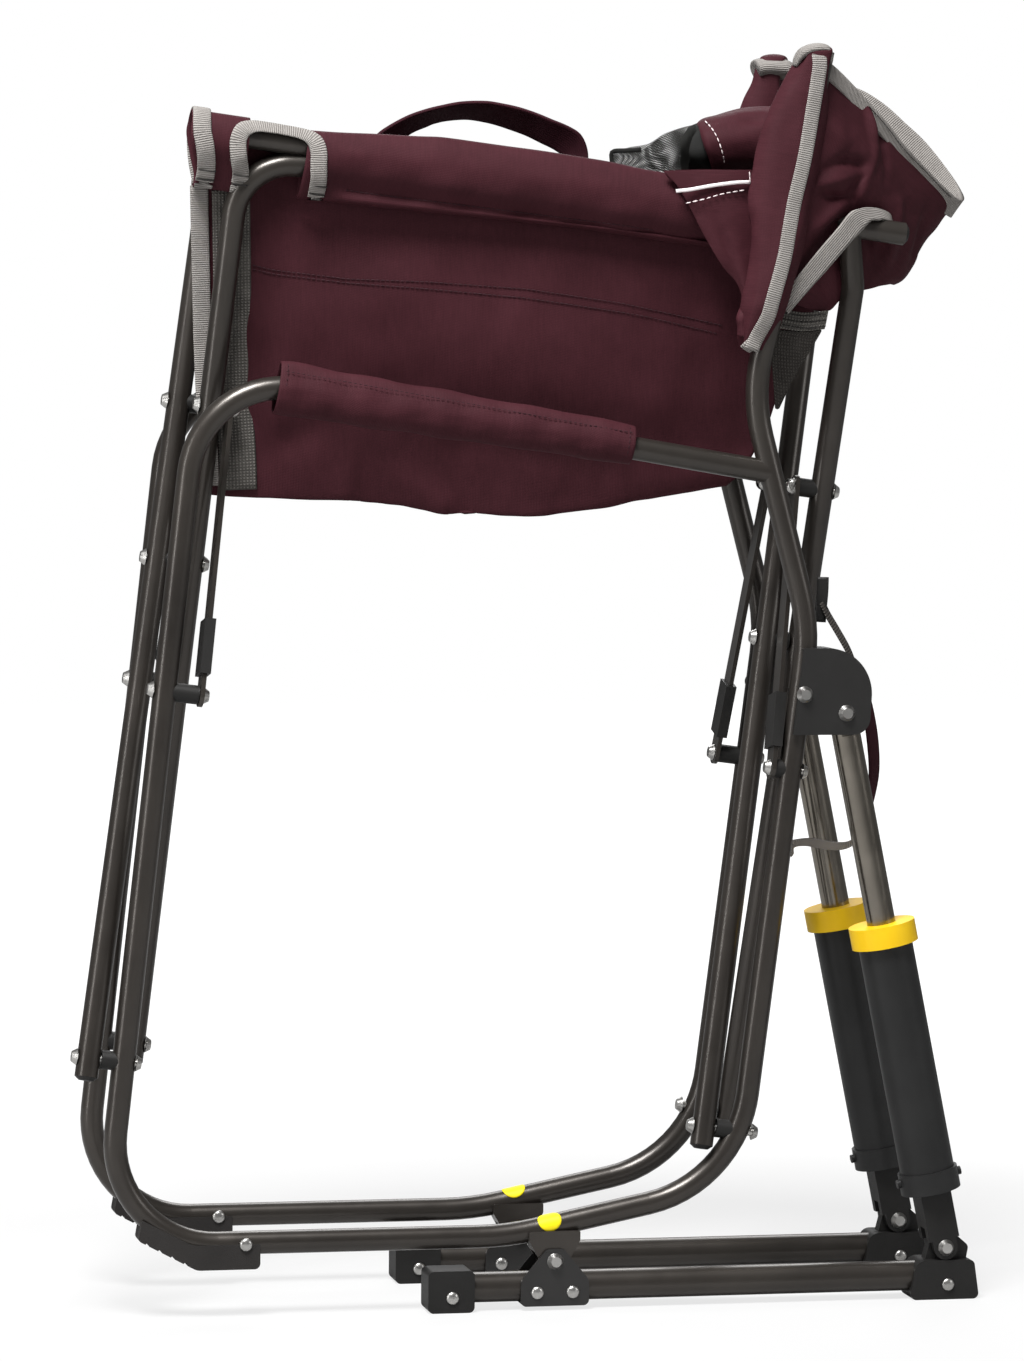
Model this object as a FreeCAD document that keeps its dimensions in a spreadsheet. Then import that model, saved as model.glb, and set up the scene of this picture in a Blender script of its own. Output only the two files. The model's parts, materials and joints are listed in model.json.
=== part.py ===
import FreeCAD, Part

import math
import os

import Sketcher

from FreeCAD import Placement, Rotation, Vector

# A side-folding rocking chair, folded flat and standing on its two base rails.
# +Z is up, the front of the chair looks along -X, and the near side is -Y.
# The origin lies on the floor, under the middle of the whole chair.
# Lengths are millimetres and angles are degrees.

SIZES = (
    ("tube_dia", 16, "frame tube, outside"),
    ("tube_wall", 1.2, "frame tube, wall"),
    ("side_offset", 60, "middle plane to each side frame, folded"),
    ("fit_gap", 0.05, "radial gap of a fixed fastener in its hole"),
    ("run_gap", 0.08, "radial gap of a turning pin in its hole"),
    ("face_gap", 0.3, "gap between two faces that move past each other"),
    ("cut_past", 20, "how far a cutter runs past what it cuts"),
    ("seat_gap", 0.35, "a flat bolt head above the round tube it clamps"),
    ("bend_seat_gap", 2.7, "a flat bolt head above a bent tube"),
    ("arm_rear_z", 577, "height where the arm is welded to the upright"),
    ("arm_front_x", -233, "front upper corner of the side frame"),
    ("arm_front_z", 643, "front upper corner of the side frame"),
    ("sole_front_x", -296, "front lower corner of the side frame"),
    ("sole_z", 50.5, "height of the bottom rail"),
    ("kink_x", -16, "start of the rise of the bottom rail"),
    ("heel_x", 146, "rear lower corner of the side frame"),
    ("heel_z", 83.5, "rear lower corner of the side frame"),
    ("leg_top_x", 193.5, "upper end of the straight rear leg"),
    ("leg_top_z", 469.5, "upper end of the straight rear leg"),
    ("back_bend_x", 151, "lower end of the upright"),
    ("back_bend_z", 629.5, "lower end of the upright"),
    ("back_top_x", 195, "top of the upright"),
    ("back_top_z", 866, "top of the upright"),
    ("flare_z", 705, "height where the upright has moved outward"),
    ("back_flare", 12, "outward step of the upright"),
    ("arm_bend", 64, "bend radius, arm to front leg"),
    ("sole_bend", 70, "bend radius, front leg to bottom rail"),
    ("kink_bend", 200, "bend radius of the gentle rise"),
    ("heel_bend", 88, "bend radius, bottom rail to rear leg"),
    ("leg_top_bend", 130, "bend radius at the top of the rear leg"),
    ("back_bend", 120, "bend radius, arm post to upright"),
    ("flare_bend", 100, "bend radius of the outward step"),
    ("hinge_tilt", 7.4, "fall of every folding axis towards the rear"),
    ("foot_n", 138.2, "height of the crossed legs' feet, square to the axes"),
    ("brace_n", 391.2, "height of the braces' lower pivots, square to the axes"),
    ("cross_arm", 345, "crossed leg, foot pivot to crossing"),
    ("link_arm", 455, "crossed leg, foot pivot to brace pivot"),
    ("rail_arm", 641, "crossed leg, foot pivot to seat rail"),
    ("cross_front", -305, "front crossing, along the axes"),
    ("cross_rear", 130, "rear crossing, along the axes"),
    ("rail_bend", 38, "bend radius near the top of the front crossed leg"),
    ("rail_bend_top", 30, "bend radius near the top of the rear crossed leg"),
    ("near_rail_front", -337, "front end of the near seat rail, along the axes"),
    ("far_rail_front", -318, "front end of the far seat rail, along the axes"),
    ("rail_end", 162.5, "rear end of the seat rail, along the axes"),
    ("front_drop", 19, "seat rail to the bend of the front crossed leg"),
    ("front_join", -214, "end of the front crossed leg under the rail, along the axes"),
    ("front_merge", 8, "middle of the rail to the middle of the front leg's end"),
    ("leg_join", 122.5, "where the rear crossed leg meets the rail"),
    ("crook_drop", 41, "seat rail to the crook of the rear crossed leg"),
    ("leg_tail", 13, "crossed leg below its foot pivot"),
    ("pivot_spacer", 8, "spacer between crossed legs, length"),
    ("spacer_dia", 13, "pivot spacers, outside"),
    ("brace_clear", 4, "least spacer under a brace bar"),
    ("bolt_dia", 6, "pivot bolts"),
    ("head_dia", 11.5, "pan heads and nuts, width"),
    ("head_tall", 3.6, "pan heads and nuts, height"),
    ("bar_wide", 16, "brace bar, width"),
    ("bar_thick", 3, "brace bar, thickness"),
    ("bar_sleeve_low", 14, "lower pivot to the plastic sleeve of a brace"),
    ("bar_sleeve_long", 38, "plastic sleeve of a brace, length"),
    ("bar_sleeve_wall", 2.2, "plastic sleeve of a brace, wall"),
    ("rivet_dia", 5, "rivets and small screws, shank"),
    ("rivet_head", 8.6, "rivets and small screws, head width"),
    ("rivet_tall", 2, "rivets and small screws, head height"),
    ("base_dia", 21, "base rail, outside"),
    ("base_wall", 1.5, "base rail, wall"),
    ("base_z", 15.5, "height of the base rail"),
    ("base_front_x", -68.5, "front end of the base rail"),
    ("base_rear_x", 307, "rear end of the base rail"),
    ("cap_wide", 26, "base rail caps, width"),
    ("front_cap_x", -73.5, "front face of the front cap"),
    ("front_cap_long", 32.5, "front cap, length"),
    ("front_cap_tall", 29, "front cap, height"),
    ("front_cap_screw_x", -56.5, "screw of the front cap"),
    ("rear_cap_x", 269.3, "front face of the rear cap"),
    ("rear_cap_long", 50, "rear cap, length"),
    ("rear_cap_tall", 27.5, "rear cap, height of its body"),
    ("cap_rivet_x", 296.5, "rivet of the rear cap"),
    ("cap_rivet_z", 10.5, "height of the rivets and screws of the caps"),
    ("cap_round", 4, "rounding of the caps' edges"),
    ("cap_lug_wide", 10, "upright lug of the rear cap, width"),
    ("fork_x", 295, "bolt of the piston fork"),
    ("fork_z", 36.3, "height of the bolt of the piston fork"),
    ("fork_eye", 8.5, "fork eye and lug, radius"),
    ("rock_x", 15.5, "rocking pivot"),
    ("rock_z", 34, "height of the rocking pivot"),
    ("saddle_wall", 2, "saddle and lug sheet"),
    ("saddle_long", 48, "saddle, length along the rail"),
    ("saddle_eye", 8.5, "saddle, radius round the pivot"),
    ("saddle_rivet_gap", 25, "distance between the saddle's rivets"),
    ("saddle_rivet_z", 12.5, "height of the saddle's rivets"),
    ("lug_long", 36, "rocking lug, length at the weld"),
    ("lug_eye", 6.6, "rocking lug, radius round the pivot"),
    ("piston_top_x", 218, "upper bolt of the piston"),
    ("piston_top_z", 411, "height of the upper bolt of the piston"),
    ("cylinder_dia", 38, "cylinder, outside"),
    ("cylinder_wall", 2, "cylinder, wall"),
    ("cylinder_foot", 40, "fork bolt to the foot of the cylinder"),
    ("cylinder_head", 228, "fork bolt to the head of the cylinder"),
    ("foot_ring_dia", 42, "ring at the foot of the cylinder"),
    ("foot_ring_tall", 15, "ring at the foot of the cylinder, height"),
    ("foot_screw_dia", 6, "screw boss of the foot ring, diameter"),
    ("collar_dia", 46.5, "collar, outside"),
    ("collar_tall", 15, "collar, height"),
    ("collar_lip", 4, "collar, part above the cylinder"),
    ("rod_dia", 20, "piston rod"),
    ("rod_past", 9, "piston rod past its upper bolt"),
    ("rod_low", 142, "fork bolt to the lower end of the rod"),
    ("piston_tall", 12, "piston on the rod, height"),
    ("fork_wide", 24, "piston fork, across the bolt"),
    ("fork_deep", 22, "piston fork, front to rear"),
    ("fork_web", 15, "fork bolt to the web of the fork"),
    ("bracket_wall", 2, "piston bracket, wall"),
    ("bracket_wide", 25, "piston bracket, width"),
    ("bracket_low", 396, "lower edge of the piston bracket"),
    ("bracket_high", 456, "upper edge of the piston bracket"),
    ("bracket_rear", 237.5, "rear edge of the piston bracket"),
    ("bracket_round", 32, "rounding of the bracket's upper rear corner"),
    ("bracket_bolt_z", 424, "height of the bolt from bracket to leg"),
    ("arm_sleeve_front", -181, "front end of the arm sleeve"),
    ("arm_sleeve_rear", 66, "rear end of the arm sleeve"),
    ("arm_sleeve_dia", 28, "padded arm sleeve, outside"),
    ("pad_rear_x", -189.5, "rear end of the rubber foot"),
    ("pad_sole_z", 33.5, "underside of the rubber foot"),
    ("pad_wide", 19, "rubber foot, width"),
    ("pad_teeth", 4, "grip notches in the rubber foot, count"),
    ("sole_screw_x", -199.5, "screw through the rear of the rubber foot"),
    ("cloth", 1.4, "cloth sleeves round a tube, thickness"),
    ("panel_thick", 1.8, "seat panels, thickness"),
    ("panel_front", -341, "front edge of the near seat panel at the rail, along the axes"),
    ("far_panel_front", -312, "front edge of the far seat panel at the rail, along the axes"),
    ("panel_nose_n", 732, "height of the step in the front edge of the seat panels"),
    ("panel_chin", -320, "front edge of the seat panels under that step, along the axes"),
    ("panel_nose", -300, "front edge of the seat panels above the braces, along the axes"),
    ("panel_nose_low", 602, "lower end of the front edge, above the front braces"),
    ("panel_low_s", -275, "front lower corner of the seat panels, behind the front braces"),
    ("panel_heel_s", 40, "where the lower edge of the seat panels turns up"),
    ("panel_heel_n", 545, "where the lower edge of the seat panels turns up"),
    ("panel_tail_n", 588, "rear end of the lower edge of the seat panels"),
    ("panel_rear", 73, "rear edge of the seat panels, along the axes"),
    ("panel_bottom", 527, "lower edge of the seat panels, square to the axes"),
    ("panel_fold_n", 540, "height where the seat panels turn straight down"),
    ("panel_knee", 618.4, "height where the seat panels straighten"),
    ("panel_knee_y", 8, "middle plane to the panel at that height"),
    ("panel_foot_y", 1.2, "middle plane to the panel near its lower edge"),
    ("seat_strip_rear", -302, "rear end of the front strip round the near seat rail"),
    ("seat_sleeve_front", -262, "front end of the seat rail sleeves"),
    ("seat_sleeve_rear", 110, "rear end of the seat rail sleeves"),
    ("back_low_z", 706, "lower edge of the folded back"),
    ("back_above", 2, "top of the folded back above the uprights"),
    ("back_fold_round", 8, "rounding of the folded back"),
    ("back_front_x", 175, "front face of the folded back, at its foot"),
    ("back_rear_x", 303, "rearmost fold of the back"),
    ("back_half", 33, "half the width of the folded back, between the seat rails"),
    ("back_wing_z", 780, "lower edge of the back's upper part, above the seat rails"),
    ("back_wing_front", 7, "upright's middle to the front of the back's upper part"),
    ("back_wing_rear", 13, "upright's middle to the rear of the back's upper part"),
    ("back_sleeve_low", 664, "lower end of the sleeves on the uprights"),
    ("pocket_front_x", 65, "front edge of the mesh pocket"),
    ("pocket_low_z", 784, "lower edge of the mesh pocket"),
    ("pocket_high_z", 815, "upper edge of the mesh pocket"),
    ("pocket_half", 28, "half the width of the mesh pocket"),
    ("handle_front_x", -90, "front root of the carry handle"),
    ("handle_rear_x", 59, "rear root of the carry handle"),
    ("handle_rise", 50, "carry handle above its rail"),
    ("handle_bend", 60, "bend radius of the carry handle"),
    ("handle_root_bend", 15, "bend radius at the roots of the carry handle"),
    ("webbing_wide", 25, "carry handle webbing, width"),
    ("webbing_thick", 2, "carry handle webbing, thickness"),
    ("strap_wide", 20, "retaining strap, width"),
    ("strap_thick", 1.6, "retaining strap, thickness"),
    ("strap_top_z", 486, "upper end of the retaining strap"),
    ("strap_low_z", 303, "lower end of the retaining strap"),
    ("strap_reach", 56, "how far the retaining strap loops to the rear"),
)

os.makedirs("parts", exist_ok=True)
doc = FreeCAD.newDocument("folding_rocking_chair")
sheet = doc.addObject("Spreadsheet::Sheet", "sizes")
for row, (alias, value, meaning) in enumerate(SIZES, start=1):
    sheet.set(f"A{row}", meaning)
    sheet.set(f"B{row}", str(value))
    sheet.setAlias(f"B{row}", alias)
doc.recompute()

nodes = []
Y_AXIS = Vector(0, 1, 0)
Z_AXIS = Vector(0, 0, 1)
SIDES = (("near", -1), ("far", 1))


def size(alias):
    return float(sheet.get(alias))


# Shorthand for the sizes that most pieces use.
TUBE_R = size("tube_dia") / 2
SEAT_GAP = size("seat_gap")
FACE_GAP = size("face_gap")
TILT = math.radians(size("hinge_tilt"))
ALONG = Vector(math.cos(TILT), 0, -math.sin(TILT))
SQUARE = Vector(math.sin(TILT), 0, math.cos(TILT))
FOLDED = math.asin(size("side_offset") / size("cross_arm"))


def at(s, y, n):
    """The point s along the folding axes, y across the chair and n square to both."""
    return ALONG * s + Y_AXIS * y + SQUARE * n


# Builders: each returns a document object.


def bind(kind, name, placement, **sizes):
    piece = doc.addObject(kind, name)
    for prop, formula in sizes.items():
        piece.setExpression(prop, formula)
    piece.Placement = placement
    return piece


def pin(name, start, direction, dia, length):
    """A round bar; dia and length are formulas on the sheet's names."""
    turn = Rotation(Z_AXIS, direction)
    return bind("Part::Cylinder", name, Placement(start, turn), Radius=f"({dia}) / 2", Height=length)


def fixed_shape(name, shape):
    piece = doc.addObject("Part::Feature", name)
    piece.Shape = shape
    return piece


def fuse(name, pieces):
    piece = doc.addObject("Part::MultiFuse", name)
    piece.Shapes = pieces
    return piece


def group(name, pieces):
    piece = doc.addObject("Part::Compound", name)
    piece.Links = pieces
    return piece


def cut(name, base, tools):
    piece = doc.addObject("Part::Cut", name)
    piece.Base = base
    piece.Tool = tools[0] if len(tools) == 1 else fuse(name + "_tools", tools)
    return piece


def node(label, piece):
    piece.Label = label
    nodes.append(piece)
    return piece


def unit(a, b):
    return (b - a).normalize()


def rounded_edges(points, radii, closed=False):
    """Straight runs joined by tangent arcs; radii has one value for each turned corner."""
    count = len(points)
    corners = range(count) if closed else range(1, count - 1)
    ends = {}
    arcs = []
    for i, radius in zip(corners, radii):
        corner = points[i]
        before = unit(corner, points[i - 1])
        after = unit(corner, points[(i + 1) % count])
        half = before.getAngle(after) / 2
        reach = radius / math.tan(half)
        middle = (before + after).normalize()
        start = corner + before * reach
        end = corner + after * reach
        top = corner + middle * (radius / math.sin(half) - radius)
        ends[i] = (start, end)
        arcs.append((i, Part.Arc(start, top, end).toShape() if radius > 0 else None))
    arcs = dict(arcs)
    edges = []
    for i in range(count if closed else count - 1):
        following = (i + 1) % count
        start = ends[i][1] if i in ends else points[i]
        end = ends[following][0] if following in ends else points[following]
        if (end - start).Length > 1e-6:
            edges.append(Part.LineSegment(start, end).toShape())
        if arcs.get(following):
            edges.append(arcs[following])
    return edges


def pipe(points, radii, radius, bore=0):
    """A round tube along a path, open at both ends when it has a bore."""
    path = Part.Wire(rounded_edges(points, radii))
    heading = unit(points[0], points[1])

    def solid(r):
        rim = Part.Wire(Part.Circle(points[0], heading, r).toShape())
        return path.makePipeShell([rim], True, False)

    return solid(radius).cut(solid(bore)) if bore else solid(radius)


def plate(name, outline, radii, width, y=0):
    """A body with a rounded outline in the XZ plane, width deep across the chair, centred on y."""
    body = doc.addObject("PartDesign::Body", name)
    sketch = body.newObject("Sketcher::SketchObject", name + "_outline")
    plane = next(o for o in body.Origin.OriginFeatures if o.Role == "XZ_Plane")
    sketch.AttachmentSupport = [(plane, "")]
    sketch.MapMode = "FlatFace"
    corners = [Vector(x, z, 0) for x, z in outline]
    edges = rounded_edges(corners, radii, closed=True)
    sketch.addGeometry([edge_curve(edge) for edge in edges], False)
    pad = body.newObject("PartDesign::Pad", name + "_pad")
    pad.Profile = sketch
    pad.Midplane = True
    pad.setExpression("Length", width)
    body.Placement = Placement(Vector(0, y, 0), Rotation())
    return body


def edge_curve(edge):
    first, last = edge.ParameterRange
    if isinstance(edge.Curve, Part.Line):
        return Part.LineSegment(edge.valueAt(first), edge.valueAt(last))
    return Part.ArcOfCircle(edge.Curve, first, last)


def head(name, start, direction, wide="sizes.head_dia", tall="sizes.head_tall"):
    """A low domed head that stands on start and rises along direction."""
    turn = Rotation(Z_AXIS, direction)
    return bind("Part::Cone", name, Placement(start, turn), Radius1=f"({wide}) / 2",
                Radius2=f"({wide}) / 2 * 0.62", Height=tall)


def bolt(name, start, direction, length, wide="sizes.head_dia", tall="sizes.head_tall",
         shank="sizes.bolt_dia", ends=(True, True)):
    """A shank of a given length with a head at each chosen end."""
    pieces = [pin(name + "_shank", start, direction, shank, f"{length}")]
    if ends[0]:
        pieces.append(head(name + "_head", start, -direction, wide, tall))
    if ends[1]:
        pieces.append(head(name + "_nut", start + direction * length, direction, wide, tall))
    return fuse(name, pieces)


def rivet(name, start, direction, length):
    return bolt(name, start, direction, length, "sizes.rivet_head", "sizes.rivet_tall", "sizes.rivet_dia")


def hole(name, middle, direction, half, dia="sizes.bolt_dia", gap="sizes.fit_gap"):
    """A cutter for a cross hole, half long each way from its middle."""
    return pin(name, middle - direction * half, direction, f"{dia} + 2 * {gap}", f"{2 * half}")


def spacer(name, start, direction, length):
    tube = pin(name + "_body", start, direction, "sizes.spacer_dia", f"{length}")
    bore = pin(name + "_bore", start, direction, "sizes.bolt_dia + 2 * sizes.fit_gap", f"{length}")
    return cut(name, tube, [bore])


# The path of a side frame, from the weld of the arm round to the top of the upright.


def side_path(sign):
    y = sign * size("side_offset")
    leg_top = Vector(size("leg_top_x"), y, size("leg_top_z"))
    back_bend = Vector(size("back_bend_x"), y, size("back_bend_z"))
    share = (size("arm_rear_z") - leg_top.z) / (back_bend.z - leg_top.z)
    weld = leg_top + (back_bend - leg_top) * share
    rise = (size("flare_z") - back_bend.z) / (size("back_top_z") - back_bend.z)
    flared_y = y + sign * size("back_flare")
    flare_x = back_bend.x + (size("back_top_x") - back_bend.x) * rise
    flare = Vector(flare_x, flared_y, size("flare_z"))
    heel_rise = (size("heel_z") - size("sole_z")) / (size("heel_x") - size("kink_x"))
    points = [
        weld,
        Vector(size("arm_front_x"), y, size("arm_front_z")),
        Vector(size("sole_front_x"), y, size("sole_z")),
        Vector(size("kink_x"), y, size("sole_z")),
        Vector(size("heel_x"), y, size("sole_z") + heel_rise * (size("heel_x") - size("kink_x"))),
        leg_top,
        back_bend,
        flare,
        Vector(size("back_top_x"), flared_y, size("back_top_z")),
    ]
    names = ("arm_bend", "sole_bend", "kink_bend", "heel_bend", "leg_top_bend", "back_bend", "flare_bend")
    return points, [size(name) for name in names]


def leg_places(n):
    """Where a side frame's front and rear legs stand, along the folding axes, at height n."""
    points, radii = side_path(1)
    path = Part.Wire(rounded_edges(points[:6], radii[:4]))
    y = size("side_offset")
    reach = 1000
    line = Part.LineSegment(at(-reach, y, n), at(reach, y, n)).toShape()
    found = []
    for edge in path.Edges:
        gap, pairs, _ = edge.distToShape(line)
        if gap < 1e-4:
            found += [pair[0].dot(ALONG) for pair in pairs]
    return min(found), max(found)


FOOT_LEGS = leg_places(size("foot_n"))
BRACE_LEGS = leg_places(size("brace_n"))
CROSSINGS = (size("cross_front"), size("cross_rear"))
ENDS = (("front", 0), ("rear", 1))


class CrossFrame:
    """One of the two crossed frames: its feet are on one side frame and its rail on the other."""

    def __init__(self, name, foot_sign, offset_sign):
        self.name = name
        self.foot_sign = foot_sign
        self.offset_sign = offset_sign
        self.up = Y_AXIS * (-foot_sign * math.sin(FOLDED)) + SQUARE * math.cos(FOLDED)
        self.foot_y = foot_sign * size("side_offset")
        self.side_step = offset_sign * (size("tube_dia") + size("pivot_spacer"))

    def leg_s(self, end, reach):
        """Along the axes: the middle of a leg at a distance from its foot pivot."""
        foot = FOOT_LEGS[end] + self.side_step
        crossing = CROSSINGS[end] + self.side_step / 2
        return foot + (crossing - foot) * reach / size("cross_arm")

    def point(self, s, reach):
        return at(s, self.foot_y, size("foot_n")) + self.up * reach

    def leg_point(self, end, reach):
        return self.point(self.leg_s(end, reach), reach)


FRAMES = {
    "near": CrossFrame("near_footed", -1, -1),
    "far": CrossFrame("far_footed", 1, 1),
}


# Side frames.


def side_tube(side, sign):
    points, radii = side_path(sign)
    inner_points = list(points)
    inner_points[0] = points[0] + unit(points[0], points[1]) * TUBE_R
    outer = side_pipe(points, radii, TUBE_R)
    hollow = side_pipe(inner_points, radii, TUBE_R - size("tube_wall"))
    tube = fixed_shape(f"{side}_tube_bend", outer.cut(hollow))
    across = 2 * size("bracket_wide")
    y = sign * size("side_offset")
    cutters = []
    for end_name, end in ENDS:
        for height, legs, tag in (("foot_n", FOOT_LEGS, "foot"), ("brace_n", BRACE_LEGS, "brace")):
            middle = at(legs[end], y, size(height))
            cutters.append(hole(f"{side}_{end_name}_{tag}_hole", middle, ALONG, TUBE_R * 2))
    bracket = Vector(leg_x(size("bracket_bolt_z")), y, size("bracket_bolt_z"))
    cutters.append(hole(f"{side}_bracket_hole", bracket, Y_AXIS, across / 2))
    screw = Vector(size("sole_screw_x"), y, size("sole_z"))
    cutters.append(hole(f"{side}_sole_hole", screw, Y_AXIS, across / 2, "sizes.rivet_dia"))
    node(f"{side}_side_tube", cut(f"{side}_side_tube", tube, cutters))


def side_pipe(points, radii, radius):
    """A side frame's round bar, made as two runs that meet in the bottom rail."""
    joint = (points[2] + points[3]) / 2
    front = pipe(points[:3] + [joint], radii[:2], radius)
    rear = pipe([joint] + points[3:], radii[2:], radius)
    return front.fuse(rear).removeSplitter()


def leg_x(z):
    """X of the straight rear leg at a height."""
    rise = size("leg_top_z") - size("heel_z")
    return size("heel_x") + (size("leg_top_x") - size("heel_x")) * (z - size("heel_z")) / rise


def rubber_foot(side, sign):
    """A grip pad under the front of the bottom rail, notched along its front."""
    y = sign * size("side_offset")
    bend = size("sole_bend")
    rear = size("pad_rear_x")
    low = size("pad_sole_z")
    line = size("sole_z")
    front = size("sole_front_x") + bend * 0.34
    outline = ((rear, line), (rear, low), (front + bend * 0.56, low), (front - 1, line + bend * 0.06),
               (front + bend * 0.02, line + bend * 0.26), (front + bend * 0.52, line))
    pad = plate(f"{side}_foot_pad", outline, (0.01, 4, 10, 3, 1, 20), "sizes.pad_wide", y)
    points, radii = side_path(sign)
    bed = fixed_shape(f"{side}_foot_bed", pipe(points[1:4], radii[1:2], TUBE_R))
    cutters = [bed]
    teeth = int(size("pad_teeth"))
    slope_start = Vector(front - 1, y, line + bend * 0.06)
    slope_end = Vector(front + bend * 0.56, y, low)
    for i in range(teeth):
        notch = slope_start + (slope_end - slope_start) * ((i + 0.7) / (teeth + 0.6))
        cutters.append(pin(f"{side}_foot_notch_{i}", notch - Y_AXIS * size("pad_wide"), Y_AXIS,
                           "sizes.pad_wide / 6", "2 * sizes.pad_wide"))
    screw = Vector(size("sole_screw_x"), y, line)
    cutters.append(hole(f"{side}_pad_hole", screw, Y_AXIS, size("pad_wide"), "sizes.rivet_dia"))
    node(f"{side}_front_foot", cut(f"{side}_front_foot", pad, cutters))


def rock_lug(side, sign):
    """The folded channel welded under the bottom rail that turns on the rocking bolt."""
    y = sign * size("side_offset")
    half = size("lug_long") / 2
    x = size("rock_x")
    eye = size("lug_eye")
    low = size("rock_z") - eye
    top = size("sole_z") + TUBE_R / 2
    outline = ((x - half, top), (x - half, top - eye), (x - eye, low), (x + eye, low),
               (x + half, top - eye), (x + half, top))
    channel = plate(f"{side}_lug_block", outline, (1, 3, eye * 0.8, eye * 0.8, 3, 1),
                    "sizes.base_dia - 2 * sizes.face_gap", y)
    slot = bind("Part::Box", f"{side}_lug_slot",
                Placement(Vector(x - half, y - TUBE_R, low), Rotation()),
                Length="sizes.lug_long", Width="sizes.tube_dia",
                Height="sizes.bolt_dia + sizes.lug_eye")
    points, radii = side_path(sign)
    bed = fixed_shape(f"{side}_lug_bed", pipe(points[2:5], radii[2:3], TUBE_R))
    eye_hole = hole(f"{side}_lug_hole", Vector(x, y, size("rock_z")), Y_AXIS, size("base_dia"),
                    gap="sizes.run_gap")
    node(f"{side}_rock_lug", cut(f"{side}_rock_lug", channel, [slot, bed, eye_hole]))


def piston_bracket(side, sign):
    """The hollow quarter-round housing on the rear leg that holds the top of the piston."""
    y = sign * size("side_offset")
    low = size("bracket_low")
    high = size("bracket_high")
    rear = size("bracket_rear")
    wall = size("bracket_wall")
    front = leg_x(low) - TUBE_R * 0.6
    top_front = leg_x(high) - TUBE_R * 0.6
    big = size("bracket_round")
    outline = ((front, low), (rear - 3, low), (rear, high), (top_front, high))
    shell = plate(f"{side}_bracket_shell", outline, (1, 12, big, 1), "sizes.bracket_wide", y)
    inner = ((leg_x(low) - TUBE_R, low - wall), (rear - wall - 3, low - wall), (rear - wall, high - wall),
             (leg_x(high) - TUBE_R, high - wall))
    hollow = plate(f"{side}_bracket_hollow", inner, (1, 6, big - wall, 1),
                   "sizes.bracket_wide - 2 * sizes.bracket_wall", y)
    points, radii = side_path(sign)
    bed = fixed_shape(f"{side}_bracket_bed", pipe(points[4:7], radii[4:5], TUBE_R))
    reach = size("bracket_wide")
    top = Vector(size("piston_top_x"), y, size("piston_top_z"))
    leg = Vector(leg_x(size("bracket_bolt_z")), y, size("bracket_bolt_z"))
    cutters = [hollow, bed, hole(f"{side}_bracket_top_hole", top, Y_AXIS, reach),
               hole(f"{side}_bracket_leg_hole", leg, Y_AXIS, reach)]
    node(f"{side}_piston_bracket", cut(f"{side}_piston_bracket", shell, cutters))


def frame_bolts(side, sign):
    """Bolts and screws fixed in a side frame."""
    y = sign * size("side_offset")
    half = size("bracket_wide") / 2
    pieces = []
    leg = Vector(leg_x(size("bracket_bolt_z")), y - half, size("bracket_bolt_z"))
    pieces.append(bolt(f"{side}_leg_bolt", leg, Y_AXIS, 2 * half))
    top = Vector(size("piston_top_x"), y, size("piston_top_z"))
    for tag, way in (("outer", sign), ("inner", -sign)):
        start = top + Y_AXIS * way * (half - size("bracket_wall"))
        pieces.append(bolt(f"{side}_top_{tag}", start, Y_AXIS * way, size("bracket_wall"),
                           ends=(False, True)))
    screw = Vector(size("sole_screw_x"), y - size("pad_wide") / 2, size("sole_z"))
    pieces.append(rivet(f"{side}_sole_screw", screw, Y_AXIS, size("pad_wide")))
    frame = FRAMES[side]
    way = frame.offset_sign
    for end_name, end in ENDS:
        inner_gap = size("bend_seat_gap") if end_name == "rear" else SEAT_GAP
        inner = FOOT_LEGS[end] - way * (TUBE_R + inner_gap)
        start = at(inner, y, size("foot_n"))
        length = 2 * size("tube_dia") + size("pivot_spacer") + inner_gap + SEAT_GAP
        pieces.append(bolt(f"{side}_{end_name}_foot_bolt", start, ALONG * way, length))
        direction = brace_way(end)
        start = at(BRACE_LEGS[end] - direction * (TUBE_R + SEAT_GAP), y, size("brace_n"))
        bar_top = abs(bar_face(side, end) - BRACE_LEGS[end]) + size("bar_thick") + FACE_GAP
        length = TUBE_R + SEAT_GAP + bar_top
        pieces.append(bolt(f"{side}_{end_name}_brace_bolt", start, ALONG * direction, length))
    node(f"{side}_frame_bolts", group(f"{side}_frame_bolts", pieces))


def foot_spacers(side, sign):
    """Plastic spacers between a side frame and what turns on it."""
    y = sign * size("side_offset")
    way = FRAMES[side].offset_sign
    pieces = []
    for end_name, end in ENDS:
        start = at(FOOT_LEGS[end] + way * TUBE_R, y, size("foot_n"))
        raw = spacer(f"{side}_{end_name}_foot_spacer", start - ALONG * way * TUBE_R / 2, ALONG * way,
                     size("pivot_spacer") + TUBE_R / 2 - FACE_GAP)
        pieces.append(raw)
        direction = brace_way(end)
        start = at(BRACE_LEGS[end] + direction * TUBE_R, y, size("brace_n"))
        length = abs(bar_face(side, end) - BRACE_LEGS[end]) - TUBE_R - FACE_GAP
        pieces.append(spacer(f"{side}_{end_name}_brace_spacer", start - ALONG * direction * TUBE_R / 2,
                             ALONG * direction, length + TUBE_R / 2))
    points, radii = side_path(sign)
    tube = fixed_shape(f"{side}_spacer_bed", pipe(points, radii, TUBE_R))
    loose = group(f"{side}_spacer_set", pieces)
    node(f"{side}_pivot_spacers", cut(f"{side}_pivot_spacers", loose, [tube]))


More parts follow.
